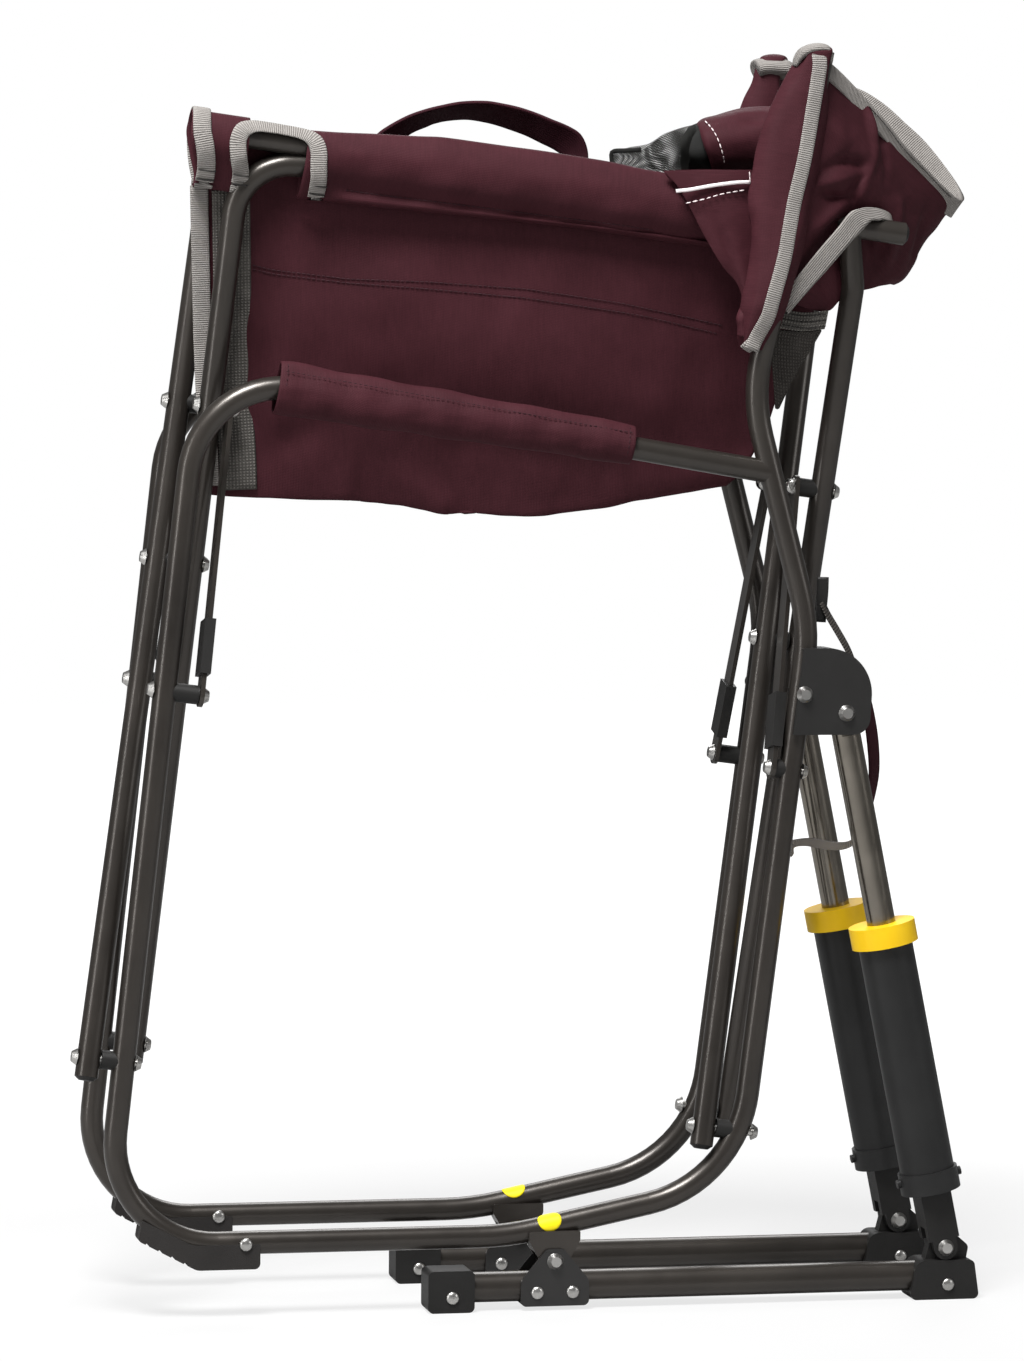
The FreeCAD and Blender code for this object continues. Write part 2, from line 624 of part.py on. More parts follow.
def arm_sleeve(side, sign):
    """The padded cloth sleeve on the arm."""
    points, radii = side_path(sign)
    rear = points[0]
    heading = unit(points[0], points[1])

    def on_arm(x):
        return rear + heading * ((x - rear.x) / heading.x)

    start = on_arm(size("arm_sleeve_rear"))
    end = on_arm(size("arm_sleeve_front"))
    length = (end - start).Length
    outer = pin(f"{side}_arm_pad", start, heading, "sizes.arm_sleeve_dia", f"{length}")
    bore = fixed_shape(f"{side}_arm_bore", pipe(points[:3], radii[:1], TUBE_R + size("fit_gap")))
    node(f"{side}_arm_sleeve", cut(f"{side}_arm_sleeve", outer, [bore]))


def back_sleeve(side, sign):
    """The hem of the back that is sewn round the upright."""
    points, radii = side_path(sign)
    bend = points[6]
    flare = points[7]
    top = points[8]
    low = bend + (flare - bend) * ((size("back_sleeve_low") - bend.z) / (flare.z - bend.z))
    above = top + unit(flare, top) * (size("cloth") + 3)
    outer = pipe([low, flare, above], radii[6:7], TUBE_R + size("cloth") + size("fit_gap"))
    hollow = pipe([low, flare, top + unit(flare, top) * size("fit_gap")], radii[6:7],
                  TUBE_R + size("fit_gap"))
    node(f"{side}_back_sleeve", fixed_shape(f"{side}_back_sleeve", outer.cut(hollow)))


# Base rails.


def base_rail(side, sign):
    y = sign * size("side_offset")
    front = Vector(size("base_front_x"), y, size("base_z"))
    along = Vector(1, 0, 0)
    body = doc.addObject("PartDesign::Body", f"{side}_base_tube")
    sketch = body.newObject("Sketcher::SketchObject", f"{side}_base_section")
    plane = next(o for o in body.Origin.OriginFeatures if o.Role == "YZ_Plane")
    sketch.AttachmentSupport = [(plane, "")]
    sketch.MapMode = "FlatFace"
    for i, formula in enumerate(("sizes.base_dia / 2", "sizes.base_dia / 2 - sizes.base_wall")):
        sketch.addGeometry(Part.Circle(Vector(0, 0, 0), Z_AXIS, 5 + i), False)
        sketch.addConstraint(Sketcher.Constraint("Coincident", i, 3, -1, 1))
        ring = sketch.addConstraint(Sketcher.Constraint("Radius", i, 5 + i))
        sketch.setExpression(f"Constraints[{ring}]", formula)
    pad = body.newObject("PartDesign::Pad", f"{side}_base_length")
    pad.Profile = sketch
    pad.setExpression("Length", "sizes.base_rear_x - sizes.base_front_x")
    body.Placement = Placement(front, Rotation())
    cutters = []
    for i, spot in enumerate(base_rivets(y)):
        cutters.append(hole(f"{side}_base_hole_{i}", spot, Y_AXIS, size("base_dia"), "sizes.rivet_dia"))
    node(f"{side}_base_rail", cut(f"{side}_base_rail", body, cutters))


def base_rivets(y):
    """Middles of the rivets that pass through a base rail: caps first, then the saddle."""
    half = size("saddle_rivet_gap") / 2
    return [
        Vector(size("front_cap_screw_x"), y, size("cap_rivet_z")),
        Vector(size("cap_rivet_x"), y, size("cap_rivet_z")),
        Vector(size("rock_x") - half, y, size("saddle_rivet_z")),
        Vector(size("rock_x") + half, y, size("saddle_rivet_z")),
    ]


def rail_bed(name, y):
    start = Vector(size("base_front_x"), y, size("base_z"))
    return pin(name, start, Vector(1, 0, 0), "sizes.base_dia + 2 * sizes.fit_gap",
               "sizes.base_rear_x - sizes.base_front_x + sizes.fit_gap")


def front_cap(side, sign):
    y = sign * size("side_offset")
    x = size("front_cap_x")
    far = x + size("front_cap_long")
    tall = size("front_cap_tall")
    r = size("cap_round")
    block = plate(f"{side}_front_cap_block", ((x, 0), (far, 0), (far, tall), (x, tall)), (r, r, r, r),
                  "sizes.cap_wide", y)
    screw = base_rivets(y)[0]
    cutters = [rail_bed(f"{side}_front_cap_bed", y),
               hole(f"{side}_front_cap_hole", screw, Y_AXIS, size("cap_wide"), "sizes.rivet_dia")]
    node(f"{side}_rail_front_cap", cut(f"{side}_rail_front_cap", block, cutters))


def rear_cap(side, sign):
    """The rear foot of a base rail, with the upright lug that the piston fork straddles."""
    y = sign * size("side_offset")
    x = size("rear_cap_x")
    far = x + size("rear_cap_long")
    tall = size("rear_cap_tall")
    r = size("cap_round")
    body = plate(f"{side}_rear_cap_block", ((x, 0), (far, 0), (far - r, tall), (x + r, tall)),
                 (r, r, r, r * 2), "sizes.cap_wide", y)
    eye = size("fork_eye")
    fork_x = size("fork_x")
    lug_outline = ((fork_x - eye - 5, tall - 2), (far - r * 2, tall - 2), (far - r * 1.5, size("fork_z")),
                   (fork_x + eye, size("fork_z") + eye), (fork_x - eye, size("fork_z") + eye))
    lug = plate(f"{side}_rear_cap_lug", lug_outline, (0.5, 0.5, 4, eye * 0.9, eye * 0.9),
                "sizes.cap_lug_wide", y)
    whole = fuse(f"{side}_rear_cap_whole", [body, lug])
    bolt_hole = hole(f"{side}_fork_hole", Vector(fork_x, y, size("fork_z")), Y_AXIS, size("cap_wide"))
    rivet_hole = hole(f"{side}_rear_cap_hole", base_rivets(y)[1], Y_AXIS, size("cap_wide"),
                      "sizes.rivet_dia")
    node(f"{side}_rail_rear_cap",
         cut(f"{side}_rail_rear_cap", whole, [rail_bed(f"{side}_rear_cap_bed", y), bolt_hole, rivet_hole]))


def rock_saddle(side, sign):
    """The bent sheet that wraps the base rail from below and carries the rocking bolt."""
    y = sign * size("side_offset")
    x = size("rock_x")
    half = size("saddle_long") / 2
    wall = size("saddle_wall")
    low = size("base_z") - size("base_dia") / 2 - wall
    eye = size("saddle_eye")
    top = size("rock_z") + eye
    shoulder = size("base_z") + size("base_dia") / 4
    outline = ((x - half, low), (x + half, low), (x + half, shoulder), (x + eye * 0.7, top),
               (x - eye * 0.7, top), (x - half, shoulder))
    block = plate(f"{side}_saddle_block", outline, (4, 4, 8, eye * 0.55, eye * 0.55, 8),
                  "sizes.base_dia + 2 * sizes.saddle_wall", y)
    slot = bind("Part::Box", f"{side}_saddle_slot",
                Placement(Vector(x - half, y - size("base_dia") / 2, size("base_z") - size("base_dia") / 2),
                          Rotation()),
                Length="sizes.saddle_long", Width="sizes.base_dia", Height="sizes.base_dia * 3")
    cutters = [slot, hole(f"{side}_saddle_pivot", Vector(x, y, size("rock_z")), Y_AXIS, size("cap_wide"))]
    for i, spot in enumerate(base_rivets(y)[2:]):
        cutters.append(hole(f"{side}_saddle_hole_{i}", spot, Y_AXIS, size("cap_wide"), "sizes.rivet_dia"))
    node(f"{side}_rock_saddle", cut(f"{side}_rock_saddle", block, cutters))


def base_fasteners(side, sign):
    """Rivets of the caps and saddle, the rocking bolt and the fork bolt."""
    y = sign * size("side_offset")
    cap_half = size("cap_wide") / 2
    saddle_half = size("base_dia") / 2 + size("saddle_wall")
    spots = base_rivets(y)
    pieces = []
    for i, spot in enumerate(spots):
        half = cap_half if i < 2 else saddle_half
        pieces.append(rivet(f"{side}_base_rivet_{i}", spot - Y_AXIS * half, Y_AXIS, 2 * half))
    pivot = Vector(size("rock_x"), y - saddle_half, size("rock_z"))
    pieces.append(bolt(f"{side}_rock_bolt", pivot, Y_AXIS, 2 * saddle_half))
    fork_half = size("fork_wide") / 2 + FACE_GAP
    fork = Vector(size("fork_x"), y - fork_half, size("fork_z"))
    pieces.append(bolt(f"{side}_fork_bolt", fork, Y_AXIS, 2 * fork_half))
    node(f"{side}_base_fasteners", group(f"{side}_base_fasteners", pieces))


# Pistons.


def piston_line(sign):
    y = sign * size("side_offset")
    foot = Vector(size("fork_x"), y, size("fork_z"))
    top = Vector(size("piston_top_x"), y, size("piston_top_z"))
    return foot, unit(foot, top), (top - foot).Length


def piston_cylinder(side, sign):
    foot, up, _ = piston_line(sign)
    start = foot + up * size("cylinder_foot")
    length = "sizes.cylinder_head - sizes.cylinder_foot"
    barrel = pin(f"{side}_barrel", start, up, "sizes.cylinder_dia", length)
    ring = pin(f"{side}_foot_ring", start, up, "sizes.foot_ring_dia", "sizes.foot_ring_tall")
    across = up.cross(Y_AXIS) * -1
    middle = start + up * (size("foot_ring_tall") * 0.6)
    boss = pin(f"{side}_ring_boss", middle - across * (size("foot_ring_dia") / 2 + 2.4), across,
               "sizes.foot_screw_dia", "sizes.foot_ring_dia + 4.8")
    whole = fuse(f"{side}_cylinder_whole", [barrel, ring, boss])
    inside = pin(f"{side}_cylinder_bore", start + up * size("cylinder_wall") * 2, up,
                 "sizes.cylinder_dia - 2 * sizes.cylinder_wall", length)
    node(f"{side}_piston_cylinder", cut(f"{side}_piston_cylinder", whole, [inside]))


def piston_collar(side, sign):
    """The bright collar that closes the cylinder and guides the rod."""
    foot, up, _ = piston_line(sign)
    top = size("cylinder_head") + size("collar_lip")
    start = foot + up * (top - size("collar_tall"))
    outer = pin(f"{side}_collar_ring", start, up, "sizes.collar_dia", "sizes.collar_tall")
    seat = pin(f"{side}_collar_seat", start, up, "sizes.cylinder_dia + 2 * sizes.fit_gap",
               "sizes.collar_tall - sizes.collar_lip")
    guide = pin(f"{side}_collar_guide", start, up, "sizes.rod_dia + 2 * sizes.run_gap",
                "sizes.collar_tall")
    node(f"{side}_piston_collar", cut(f"{side}_piston_collar", outer, [seat, guide]))


def piston_fork(side, sign):
    """The fork under the cylinder, whose two eyes turn on the fork bolt."""
    foot, up, _ = piston_line(sign)
    turn = Rotation(Z_AXIS, up)
    y_half = size("fork_wide") / 2
    deep = size("fork_deep")
    web = size("fork_web")
    corner = foot + turn.multVec(Vector(-deep / 2, -y_half, 0)) + up * (web * 0.4)
    block = bind("Part::Box", f"{side}_fork_block", Placement(corner, turn), Length="sizes.fork_deep",
                 Width="sizes.fork_wide", Height="sizes.cylinder_foot - sizes.fork_web * 0.4")
    eye = pin(f"{side}_fork_eye", foot - Y_AXIS * y_half, Y_AXIS, "2 * sizes.fork_eye", "sizes.fork_wide")
    cheek_low = foot + turn.multVec(Vector(-size("fork_eye"), -y_half, 0))
    cheek = bind("Part::Box", f"{side}_fork_cheek", Placement(cheek_low, turn),
                 Length="2 * sizes.fork_eye", Width="sizes.fork_wide", Height="sizes.fork_web")
    whole = fuse(f"{side}_fork_whole", [block, eye, cheek])
    slot_half = size("cap_lug_wide") / 2 + FACE_GAP
    slot_low = foot + turn.multVec(Vector(-deep, -slot_half, -deep))
    slot = bind("Part::Box", f"{side}_fork_slot", Placement(slot_low, turn), Length="2 * sizes.fork_deep",
                Width="sizes.cap_lug_wide + 2 * sizes.face_gap", Height="sizes.fork_deep + sizes.fork_web")
    pivot = hole(f"{side}_fork_bore", foot, Y_AXIS, size("fork_wide"), gap="sizes.run_gap")
    node(f"{side}_piston_fork", cut(f"{side}_piston_fork", whole, [slot, pivot]))


def piston_rod(side, sign):
    foot, up, length = piston_line(sign)
    start = foot + up * size("rod_low")
    rod_long = length + size("rod_past") - size("rod_low")
    rod = pin(f"{side}_rod_bar", start, up, "sizes.rod_dia", f"{rod_long}")
    piston = pin(f"{side}_rod_piston", start, up,
                 "sizes.cylinder_dia - 2 * sizes.cylinder_wall - 2 * sizes.run_gap", "sizes.piston_tall")
    whole = fuse(f"{side}_rod_whole", [rod, piston])
    flat = size("bracket_wide") / 2 - size("bracket_wall") - 2
    cheeks = []
    for tag, way in (("outer", 1), ("inner", -1)):
        middle = foot + up * (length - size("rod_dia") * 0.8) + Y_AXIS * way * (flat + size("rod_dia") / 2)
        turn = Rotation(Z_AXIS, up)
        corner = middle + turn.multVec(Vector(-size("rod_dia"), -size("rod_dia") / 2, 0))
        cheeks.append(bind("Part::Box", f"{side}_rod_flat_{tag}", Placement(corner, turn),
                           Length="2 * sizes.rod_dia", Width="sizes.rod_dia", Height="2 * sizes.rod_dia"))
    node(f"{side}_piston_rod", cut(f"{side}_piston_rod", whole, cheeks))


# Braces: flat bars from a side frame to the crossed frame whose feet stand on the other side.


def brace_way(end):
    """The front brace lies behind its leg and the rear brace lies before its leg."""
    return 1 if end == 0 else -1


def bar_face(side, end):
    """Along the axes: the face of a brace bar that looks at its leg."""
    frame = FRAMES["far" if side == "near" else "near"]
    way = brace_way(end)
    tubes = (BRACE_LEGS[end], frame.leg_s(end, size("link_arm")))
    outermost = max(way * s for s in tubes)
    return way * (outermost + TUBE_R + size("brace_clear"))


def brace_ends(side, sign, end):
    frame = FRAMES["far" if side == "near" else "near"]
    face = bar_face(side, end)
    low = at(face, sign * size("side_offset"), size("brace_n"))
    high = frame.point(face, size("link_arm"))
    return low, high


def brace_bar(side, sign, end_name, end):
    low, high = brace_ends(side, sign, end)
    way = ALONG * brace_way(end)
    lift = unit(low, high)
    across = way.cross(lift)
    length = (high - low).Length
    turn = Rotation(across, way, lift, "XYZ")
    half = size("bar_wide") / 2
    corner = low + turn.multVec(Vector(-half, 0, 0))
    strip = bind("Part::Box", f"{side}_{end_name}_strip", Placement(corner, turn),
                 Length="sizes.bar_wide", Width="sizes.bar_thick", Height=f"{length}")
    eyes = [pin(f"{side}_{end_name}_eye_{i}", spot, way, "sizes.bar_wide", "sizes.bar_thick")
            for i, spot in enumerate((low, high))]
    whole = fuse(f"{side}_{end_name}_bar_whole", [strip] + eyes)
    bores = [hole(f"{side}_{end_name}_bar_low", low, way, size("bar_wide"), gap="sizes.run_gap"),
             hole(f"{side}_{end_name}_bar_high", high, way, size("bar_wide"))]
    return cut(f"{side}_{end_name}_bar", whole, bores)


def brace_bars(side, sign):
    pieces = [brace_bar(side, sign, end_name, end) for end_name, end in ENDS]
    node(f"{side}_brace_bars", group(f"{side}_brace_bars", pieces))


def brace_sleeves(side, sign):
    """The plastic sleeve near the foot of each brace bar."""
    pieces = []
    for end_name, end in ENDS:
        low, high = brace_ends(side, sign, end)
        way = ALONG * brace_way(end)
        lift = unit(low, high)
        across = way.cross(lift)
        turn = Rotation(across, way, lift, "XYZ")
        wall = size("bar_sleeve_wall")
        half = size("bar_wide") / 2
        start = low + lift * size("bar_sleeve_low")
        outer = bind("Part::Box", f"{side}_{end_name}_sleeve_block",
                     Placement(start + turn.multVec(Vector(-half - wall, -wall, 0)), turn),
                     Length="sizes.bar_wide + 2 * sizes.bar_sleeve_wall",
                     Width="sizes.bar_thick + 2 * sizes.bar_sleeve_wall", Height="sizes.bar_sleeve_long")
        inner = bind("Part::Box", f"{side}_{end_name}_sleeve_slot",
                     Placement(start + turn.multVec(Vector(-half, 0, 0)), turn),
                     Length="sizes.bar_wide", Width="sizes.bar_thick", Height="sizes.bar_sleeve_long")
        pieces.append(cut(f"{side}_{end_name}_brace_sleeve", outer, [inner]))
    node(f"{side}_brace_sleeves", group(f"{side}_brace_sleeves", pieces))


def brace_bolts(side, sign):
    """The bolt ends fixed in the upper eyes of the brace bars."""
    pieces = []
    for end_name, end in ENDS:
        _, high = brace_ends(side, sign, end)
        way = ALONG * brace_way(end)
        pieces.append(bolt(f"{side}_{end_name}_link_bolt", high, way, size("bar_thick"),
                           ends=(False, True)))
    node(f"{side}_brace_bolts", group(f"{side}_brace_bolts", pieces))


# Crossed frames.


def rail_point(frame, s):
    return frame.point(s, size("rail_arm"))


def rail_front(frame):
    """The frame with its feet on the far side carries the near rail, and the other one the far rail."""
    return "near_rail_front" if frame is FRAMES["far"] else "far_rail_front"


def front_leg_path(frame):
    foot = frame.leg_point(0, -size("leg_tail"))
    corner = frame.leg_point(0, size("rail_arm") - size("front_drop"))
    end = frame.point(size("front_join"), size("rail_arm") - size("front_merge"))
    return [foot, corner, end], [size("rail_bend")]


def rear_leg_path(frame):
    foot = frame.leg_point(1, -size("leg_tail"))
    crook = frame.leg_point(1, size("rail_arm") - size("crook_drop"))
    return [foot, crook, rail_point(frame, size("leg_join"))], [size("rail_bend_top")]


def leg_holes(frame, side, end_name, end):
    """Cross holes of one leg: the foot turns on its bolt, and so does one leg at the crossing."""
    turning = "sizes.run_gap"
    crossing_gap = turning if frame is FRAMES["far"] else "sizes.fit_gap"
    spots = ((0, turning), (size("cross_arm"), crossing_gap), (size("link_arm"), "sizes.fit_gap"))
    return [hole(f"{side}_{end_name}_leg_hole_{i}", frame.leg_point(end, reach), ALONG,
                 size("tube_dia"), gap=gap) for i, (reach, gap) in enumerate(spots)]


def crossed_tubes(side, frame):
    """The straight seat rail, and the two bent legs that are coped to its underside."""
    front = rail_front(frame)
    start = rail_point(frame, size(front))
    before = rail_point(frame, size(front) - size("cut_past"))
    length = f"sizes.rail_end - sizes.{front}"
    long = f"{length} + 2 * sizes.cut_past"
    wall = pin(f"{side}_rail_wall", start, ALONG, "sizes.tube_dia", length)
    bore = pin(f"{side}_rail_bore", before, ALONG, "sizes.tube_dia - 2 * sizes.tube_wall", long)
    node(f"{side}_footed_seat_tube", cut(f"{side}_footed_seat_tube", wall, [bore]))
    for end, (end_name, path) in enumerate((("front", front_leg_path), ("rear", rear_leg_path))):
        name = f"{side}_footed_{end_name}_leg"
        bent = fixed_shape(f"{name}_bend", pipe(*path(frame), TUBE_R, TUBE_R - size("tube_wall")))
        cope = pin(f"{name}_cope", before, ALONG, "sizes.tube_dia + 2 * sizes.fit_gap", long)
        node(name, cut(name, bent, [cope] + leg_holes(frame, side, end_name, end)))


def end_plugs(side, frame):
    """Plastic plugs in the open ends of a crossed frame's tubes."""
    points, _ = front_leg_path(frame)
    rear_points, _ = rear_leg_path(frame)
    ends = ((points[0], unit(points[1], points[0])), (rear_points[0], unit(rear_points[1], rear_points[0])),
            (rail_point(frame, size("rail_end")), ALONG), (rail_point(frame, size(rail_front(frame))), -ALONG))
    pieces = []
    for i, (spot, out) in enumerate(ends):
        rim = head(f"{side}_plug_rim_{i}", spot, out, "sizes.tube_dia", "sizes.tube_wall * 2")
        stem = pin(f"{side}_plug_stem_{i}", spot, -out,
                   "sizes.tube_dia - 2 * sizes.tube_wall - 2 * sizes.fit_gap", "sizes.bolt_dia / 2")
        pieces.append(fuse(f"{side}_plug_{i}", [rim, stem]))
    node(f"{side}_footed_end_plugs", group(f"{side}_footed_end_plugs", pieces))


def frame_spacers(side, frame):
    """Spacers of a crossed frame: under the brace bars, and at the crossing on one of the two."""
    pieces = []
    other_side = "far" if side == "near" else "near"
    bed_parts = [fixed_shape(f"{side}_cross_bed_{i}", pipe(*path, TUBE_R))
                 for i, path in enumerate((front_leg_path(frame), rear_leg_path(frame)))]
    for end_name, end in ENDS:
        way = brace_way(end)
        face = bar_face(other_side, end)
        leg = frame.leg_point(end, size("link_arm"))
        start = leg + ALONG * way * TUBE_R / 2
        length = abs(face - leg.dot(ALONG)) - TUBE_R / 2 - FACE_GAP
        pieces.append(spacer(f"{side}_{end_name}_link_spacer", start, ALONG * way, length))
        if frame is FRAMES["near"]:
            start = frame.leg_point(end, size("cross_arm")) + ALONG * TUBE_R / 2
            length = size("pivot_spacer") + TUBE_R / 2 - FACE_GAP
            pieces.append(spacer(f"{side}_{end_name}_cross_spacer", start, ALONG, length))
    loose = group(f"{side}_frame_spacer_set", pieces)
    node(f"{side}_footed_spacers", cut(f"{side}_footed_spacers", loose, bed_parts))


def frame_pivot_bolts(side, frame):
    """Bolts of a crossed frame: through the brace pivots, and through both crossings on one of the two."""
    pieces = []
    other_side = "far" if side == "near" else "near"
    for end_name, end in ENDS:
        way = ALONG * brace_way(end)
        leg = frame.leg_point(end, size("link_arm"))
        face = bar_face(other_side, end)
        length = abs(face - leg.dot(ALONG)) + TUBE_R + SEAT_GAP - FACE_GAP
        start = leg - way * (TUBE_R + SEAT_GAP)
        pieces.append(bolt(f"{side}_{end_name}_leg_link_bolt", start, way, length,
                           ends=(True, False)))
        if frame is FRAMES["near"]:
            start = frame.leg_point(end, size("cross_arm")) - ALONG * (TUBE_R + SEAT_GAP)
            length = 2 * (size("tube_dia") + SEAT_GAP) + size("pivot_spacer")
            pieces.append(bolt(f"{side}_{end_name}_cross_bolt", start, ALONG, length))
    node(f"{side}_footed_pivot_bolts", group(f"{side}_footed_pivot_bolts", pieces))


# Cloth pieces as plain closed solids.


def seat_panel(side, frame, rail_sign):
    """Half of the seat: a sleeve round one seat rail and the cloth that hangs from it."""
    rail_n = size("foot_n") + size("rail_arm") * math.cos(FOLDED)
    rail_y = -frame.foot_sign * (size("rail_arm") * math.sin(FOLDED) - size("side_offset"))
    sleeve_r = TUBE_R + size("fit_gap") + size("cloth")
    half = size("panel_thick") / 2
    inner = -rail_sign
    top_y = rail_y + inner * (sleeve_r - half)
    profile = (
        (top_y, rail_n),
        (rail_sign * size("panel_knee_y"), size("panel_knee")),
        (rail_sign * size("panel_foot_y"), size("panel_fold_n")),
        (rail_sign * size("panel_foot_y"), size("panel_bottom")),
    )
    front = size("panel_front" if side == "near" else "far_panel_front")
    left = [at(front, y - half, n) for y, n in profile]
    right = [at(front, y + half, n) for y, n in reversed(profile)]
    face = Part.Face(Part.makePolygon(left + right + left[:1]))
    folded = fixed_shape(f"{side}_seat_fold", face.extrude(ALONG * (size("panel_rear") - front)))
    hanging = doc.addObject("Part::MultiCommon", f"{side}_seat_drop")
    hanging.Shapes = [folded, seat_outline(side, front, rail_n)]
    wide = "sizes.tube_dia + 2 * sizes.fit_gap + 2 * sizes.cloth"
    sleeve = pin(f"{side}_seat_sleeve", rail_point(frame, size("seat_sleeve_front")), ALONG, wide,
                 "sizes.seat_sleeve_rear - sizes.seat_sleeve_front")
    folds = [sleeve, hanging]
    if side == "near":
        folds.append(pin("near_seat_strip", rail_point(frame, front), ALONG, wide,
                         "sizes.seat_strip_rear - sizes.panel_front"))
    bore = pin(f"{side}_seat_bore", rail_point(frame, front - size("cut_past")), ALONG,
               "sizes.tube_dia + 2 * sizes.fit_gap",
               "sizes.seat_sleeve_rear - sizes.panel_front + 2 * sizes.cut_past")
    leg = fixed_shape(f"{side}_seat_leg_way", pipe(*front_leg_path(frame), TUBE_R + FACE_GAP))
    whole = fuse(f"{side}_seat_cloth", folds)
    node(f"seat_{side}_panel", cut(f"seat_{side}_panel", whole, [bore, leg]))


def seat_outline(side, front, rail_n):
    """The outline of a seat panel seen from the side, as a block wider than the chair."""
    rear = size("panel_rear")
    corners = (
        (front, rail_n), (front, size("panel_nose_n")),
        (max(front, size("panel_chin")) + 1, size("panel_nose_n") - 1),
        (size("panel_nose"), size("panel_nose_low")), (size("panel_low_s"), size("panel_nose_low")),
        (size("panel_low_s"), size("panel_bottom")),
        (size("panel_heel_s"), size("panel_heel_n")), (rear, size("panel_tail_n")), (rear, rail_n),
    )
    spots = [at(s, 0, n) for s, n in corners]
    outline = [(spot.x, spot.z) for spot in spots]
    return plate(f"{side}_seat_outline", outline, (1, 1, 1, 8, 1, 8, 40, 8, 1), "4 * sizes.side_offset")


def post_x(z):
    """X of the leaning upright at a height."""
    lean = (size("back_top_x") - size("back_bend_x")) / (size("back_top_z") - size("back_bend_z"))
    return size("back_bend_x") + lean * (z - size("back_bend_z"))


def back_panel():
    """The folded back between the two uprights."""
    low = size("back_low_z")
    high = size("back_top_z") + size("back_above")
    front = size("back_front_x")
    rear = size("back_rear_x")
    front_top = front + post_x(high) - post_x(low)
    waist = low + (high - low) * 0.36
    outline = ((front, low), (front + (rear - front) * 0.65, low), (rear, waist),
               (front_top + (rear - front_top) * 0.4, high), (front_top, high))
    soft = size("back_fold_round")
    block = plate("back_folds", outline, (2, soft, soft * 1.5, soft, 2), "2 * sizes.back_half")
    wing_z = size("back_wing_z")
    before = size("back_wing_front")
    behind = size("back_wing_rear")
    wing_outline = ((post_x(wing_z) - before, wing_z), (post_x(wing_z) + behind, wing_z),
                    (post_x(high) + behind, high), (post_x(high) - before, high))
    reach = "sizes.side_offset + sizes.back_flare - sizes.tube_dia / 2"
    skins = "(sizes.fit_gap + sizes.cloth + sizes.face_gap)"
    wing = plate("back_wings", wing_outline, (2, 2, 2, 2), f"2 * ({reach} - {skins})")
    node("back_panel", fuse("back_panel", [block, wing]))


def mesh_pocket():
    """The mesh pocket on the front of the back."""
    low = size("pocket_low_z")
    high = size("pocket_high_z")
    front = size("pocket_front_x")
    behind = size("back_wing_front") + FACE_GAP
    outline = ((front + 8, low), (post_x(low) - behind, low), (post_x(high) - behind, high), (front, high))
    node("mesh_pocket", plate("mesh_pocket", outline, (6, 1, 1, 3), "2 * sizes.pocket_half"))


def band(points, radii, thick, wide, y):
    """A flat strap that follows a path in the XZ plane."""
    path = Part.Wire(rounded_edges(points, radii))
    heading = unit(points[0], points[1])
    side = heading.cross(Y_AXIS) * (thick / 2)
    start = points[0]
    half = Y_AXIS * (wide / 2)
    corners = [start - side - half, start + side - half, start + side + half, start - side + half]
    section = Part.makePolygon(corners + corners[:1])
    strap = path.makePipeShell([section], True, False)
    strap.translate(Vector(0, y, 0))
    return strap


def carry_handle():
    """A webbing loop sewn to the sleeve of the far seat rail."""
    frame = FRAMES["near"]
    rail_y = size("rail_arm") * math.sin(FOLDED) - size("side_offset")
    rail_n = size("foot_n") + size("rail_arm") * math.cos(FOLDED)
    thick = size("webbing_thick")
    lift = TUBE_R + size("cloth") + size("fit_gap") + FACE_GAP + thick / 2

    def over_rail(x, rise):
        s = (x - SQUARE.x * rail_n) / ALONG.x
        spot = at(s, 0, rail_n + rise)
        return Vector(spot.x, 0, spot.z)

    front = size("handle_front_x")
    rear = size("handle_rear_x")
    tail = size("webbing_wide")
    rise = size("handle_rise")
    span = rear - front
    points = [over_rail(front - tail, lift), over_rail(front, lift), over_rail(front + 0.24 * span, rise),
              over_rail(front + 0.62 * span, rise + thick), over_rail(rear, rise * 0.62),
              over_rail(rear + 2 * thick, lift), over_rail(rear + tail, lift)]
    root = size("handle_root_bend")
    arch = size("handle_bend")
    strap = band(points, (root, arch, arch, root, root / 3), thick, size("webbing_wide"), rail_y)
    node("carry_handle", fixed_shape("carry_handle", strap))


def retaining_strap():
    """The strap that loops to the rear from the rear crossed leg; it lies in the plane of that leg."""
    frame = FRAMES["far"]
    foot = frame.leg_point(1, 0)
    way = frame.leg_point(1, size("cross_arm")) - foot
    low_z = size("strap_low_z")
    high_z = size("strap_top_z")
    slope = math.atan2(way.y, way.z)
    start = foot + way * ((low_z - foot.z) / way.z)
    thick = size("strap_thick")
    skin = TUBE_R + thick / 2 + FACE_GAP
    reach = size("strap_reach")
    drop = high_z - low_z

    def along(z, x):
        return Vector(x, 0, (z - low_z) / math.cos(slope))

    def on_leg(z):
        return along(z, start.x + way.x / way.z * (z - low_z) + skin)

    points = [
        on_leg(high_z + 12),
        on_leg(high_z - 16),
        along(high_z - drop * 0.27, start.x + reach + 14),
        along(high_z - drop * 0.72, start.x + reach + 26),
        along(low_z + 8, start.x + reach),
        along(low_z + 6, start.x + skin + 2),
        on_leg(low_z - 14),
    ]
    strap = band(points, (20, 40, 60, 12, 6), thick, size("strap_wide"), 0)
    strap.rotate(Vector(0, 0, 0), Vector(1, 0, 0), -math.degrees(slope))
    strap.translate(Vector(0, start.y, low_z))
    node("retaining_strap", fixed_shape("retaining_strap", strap))


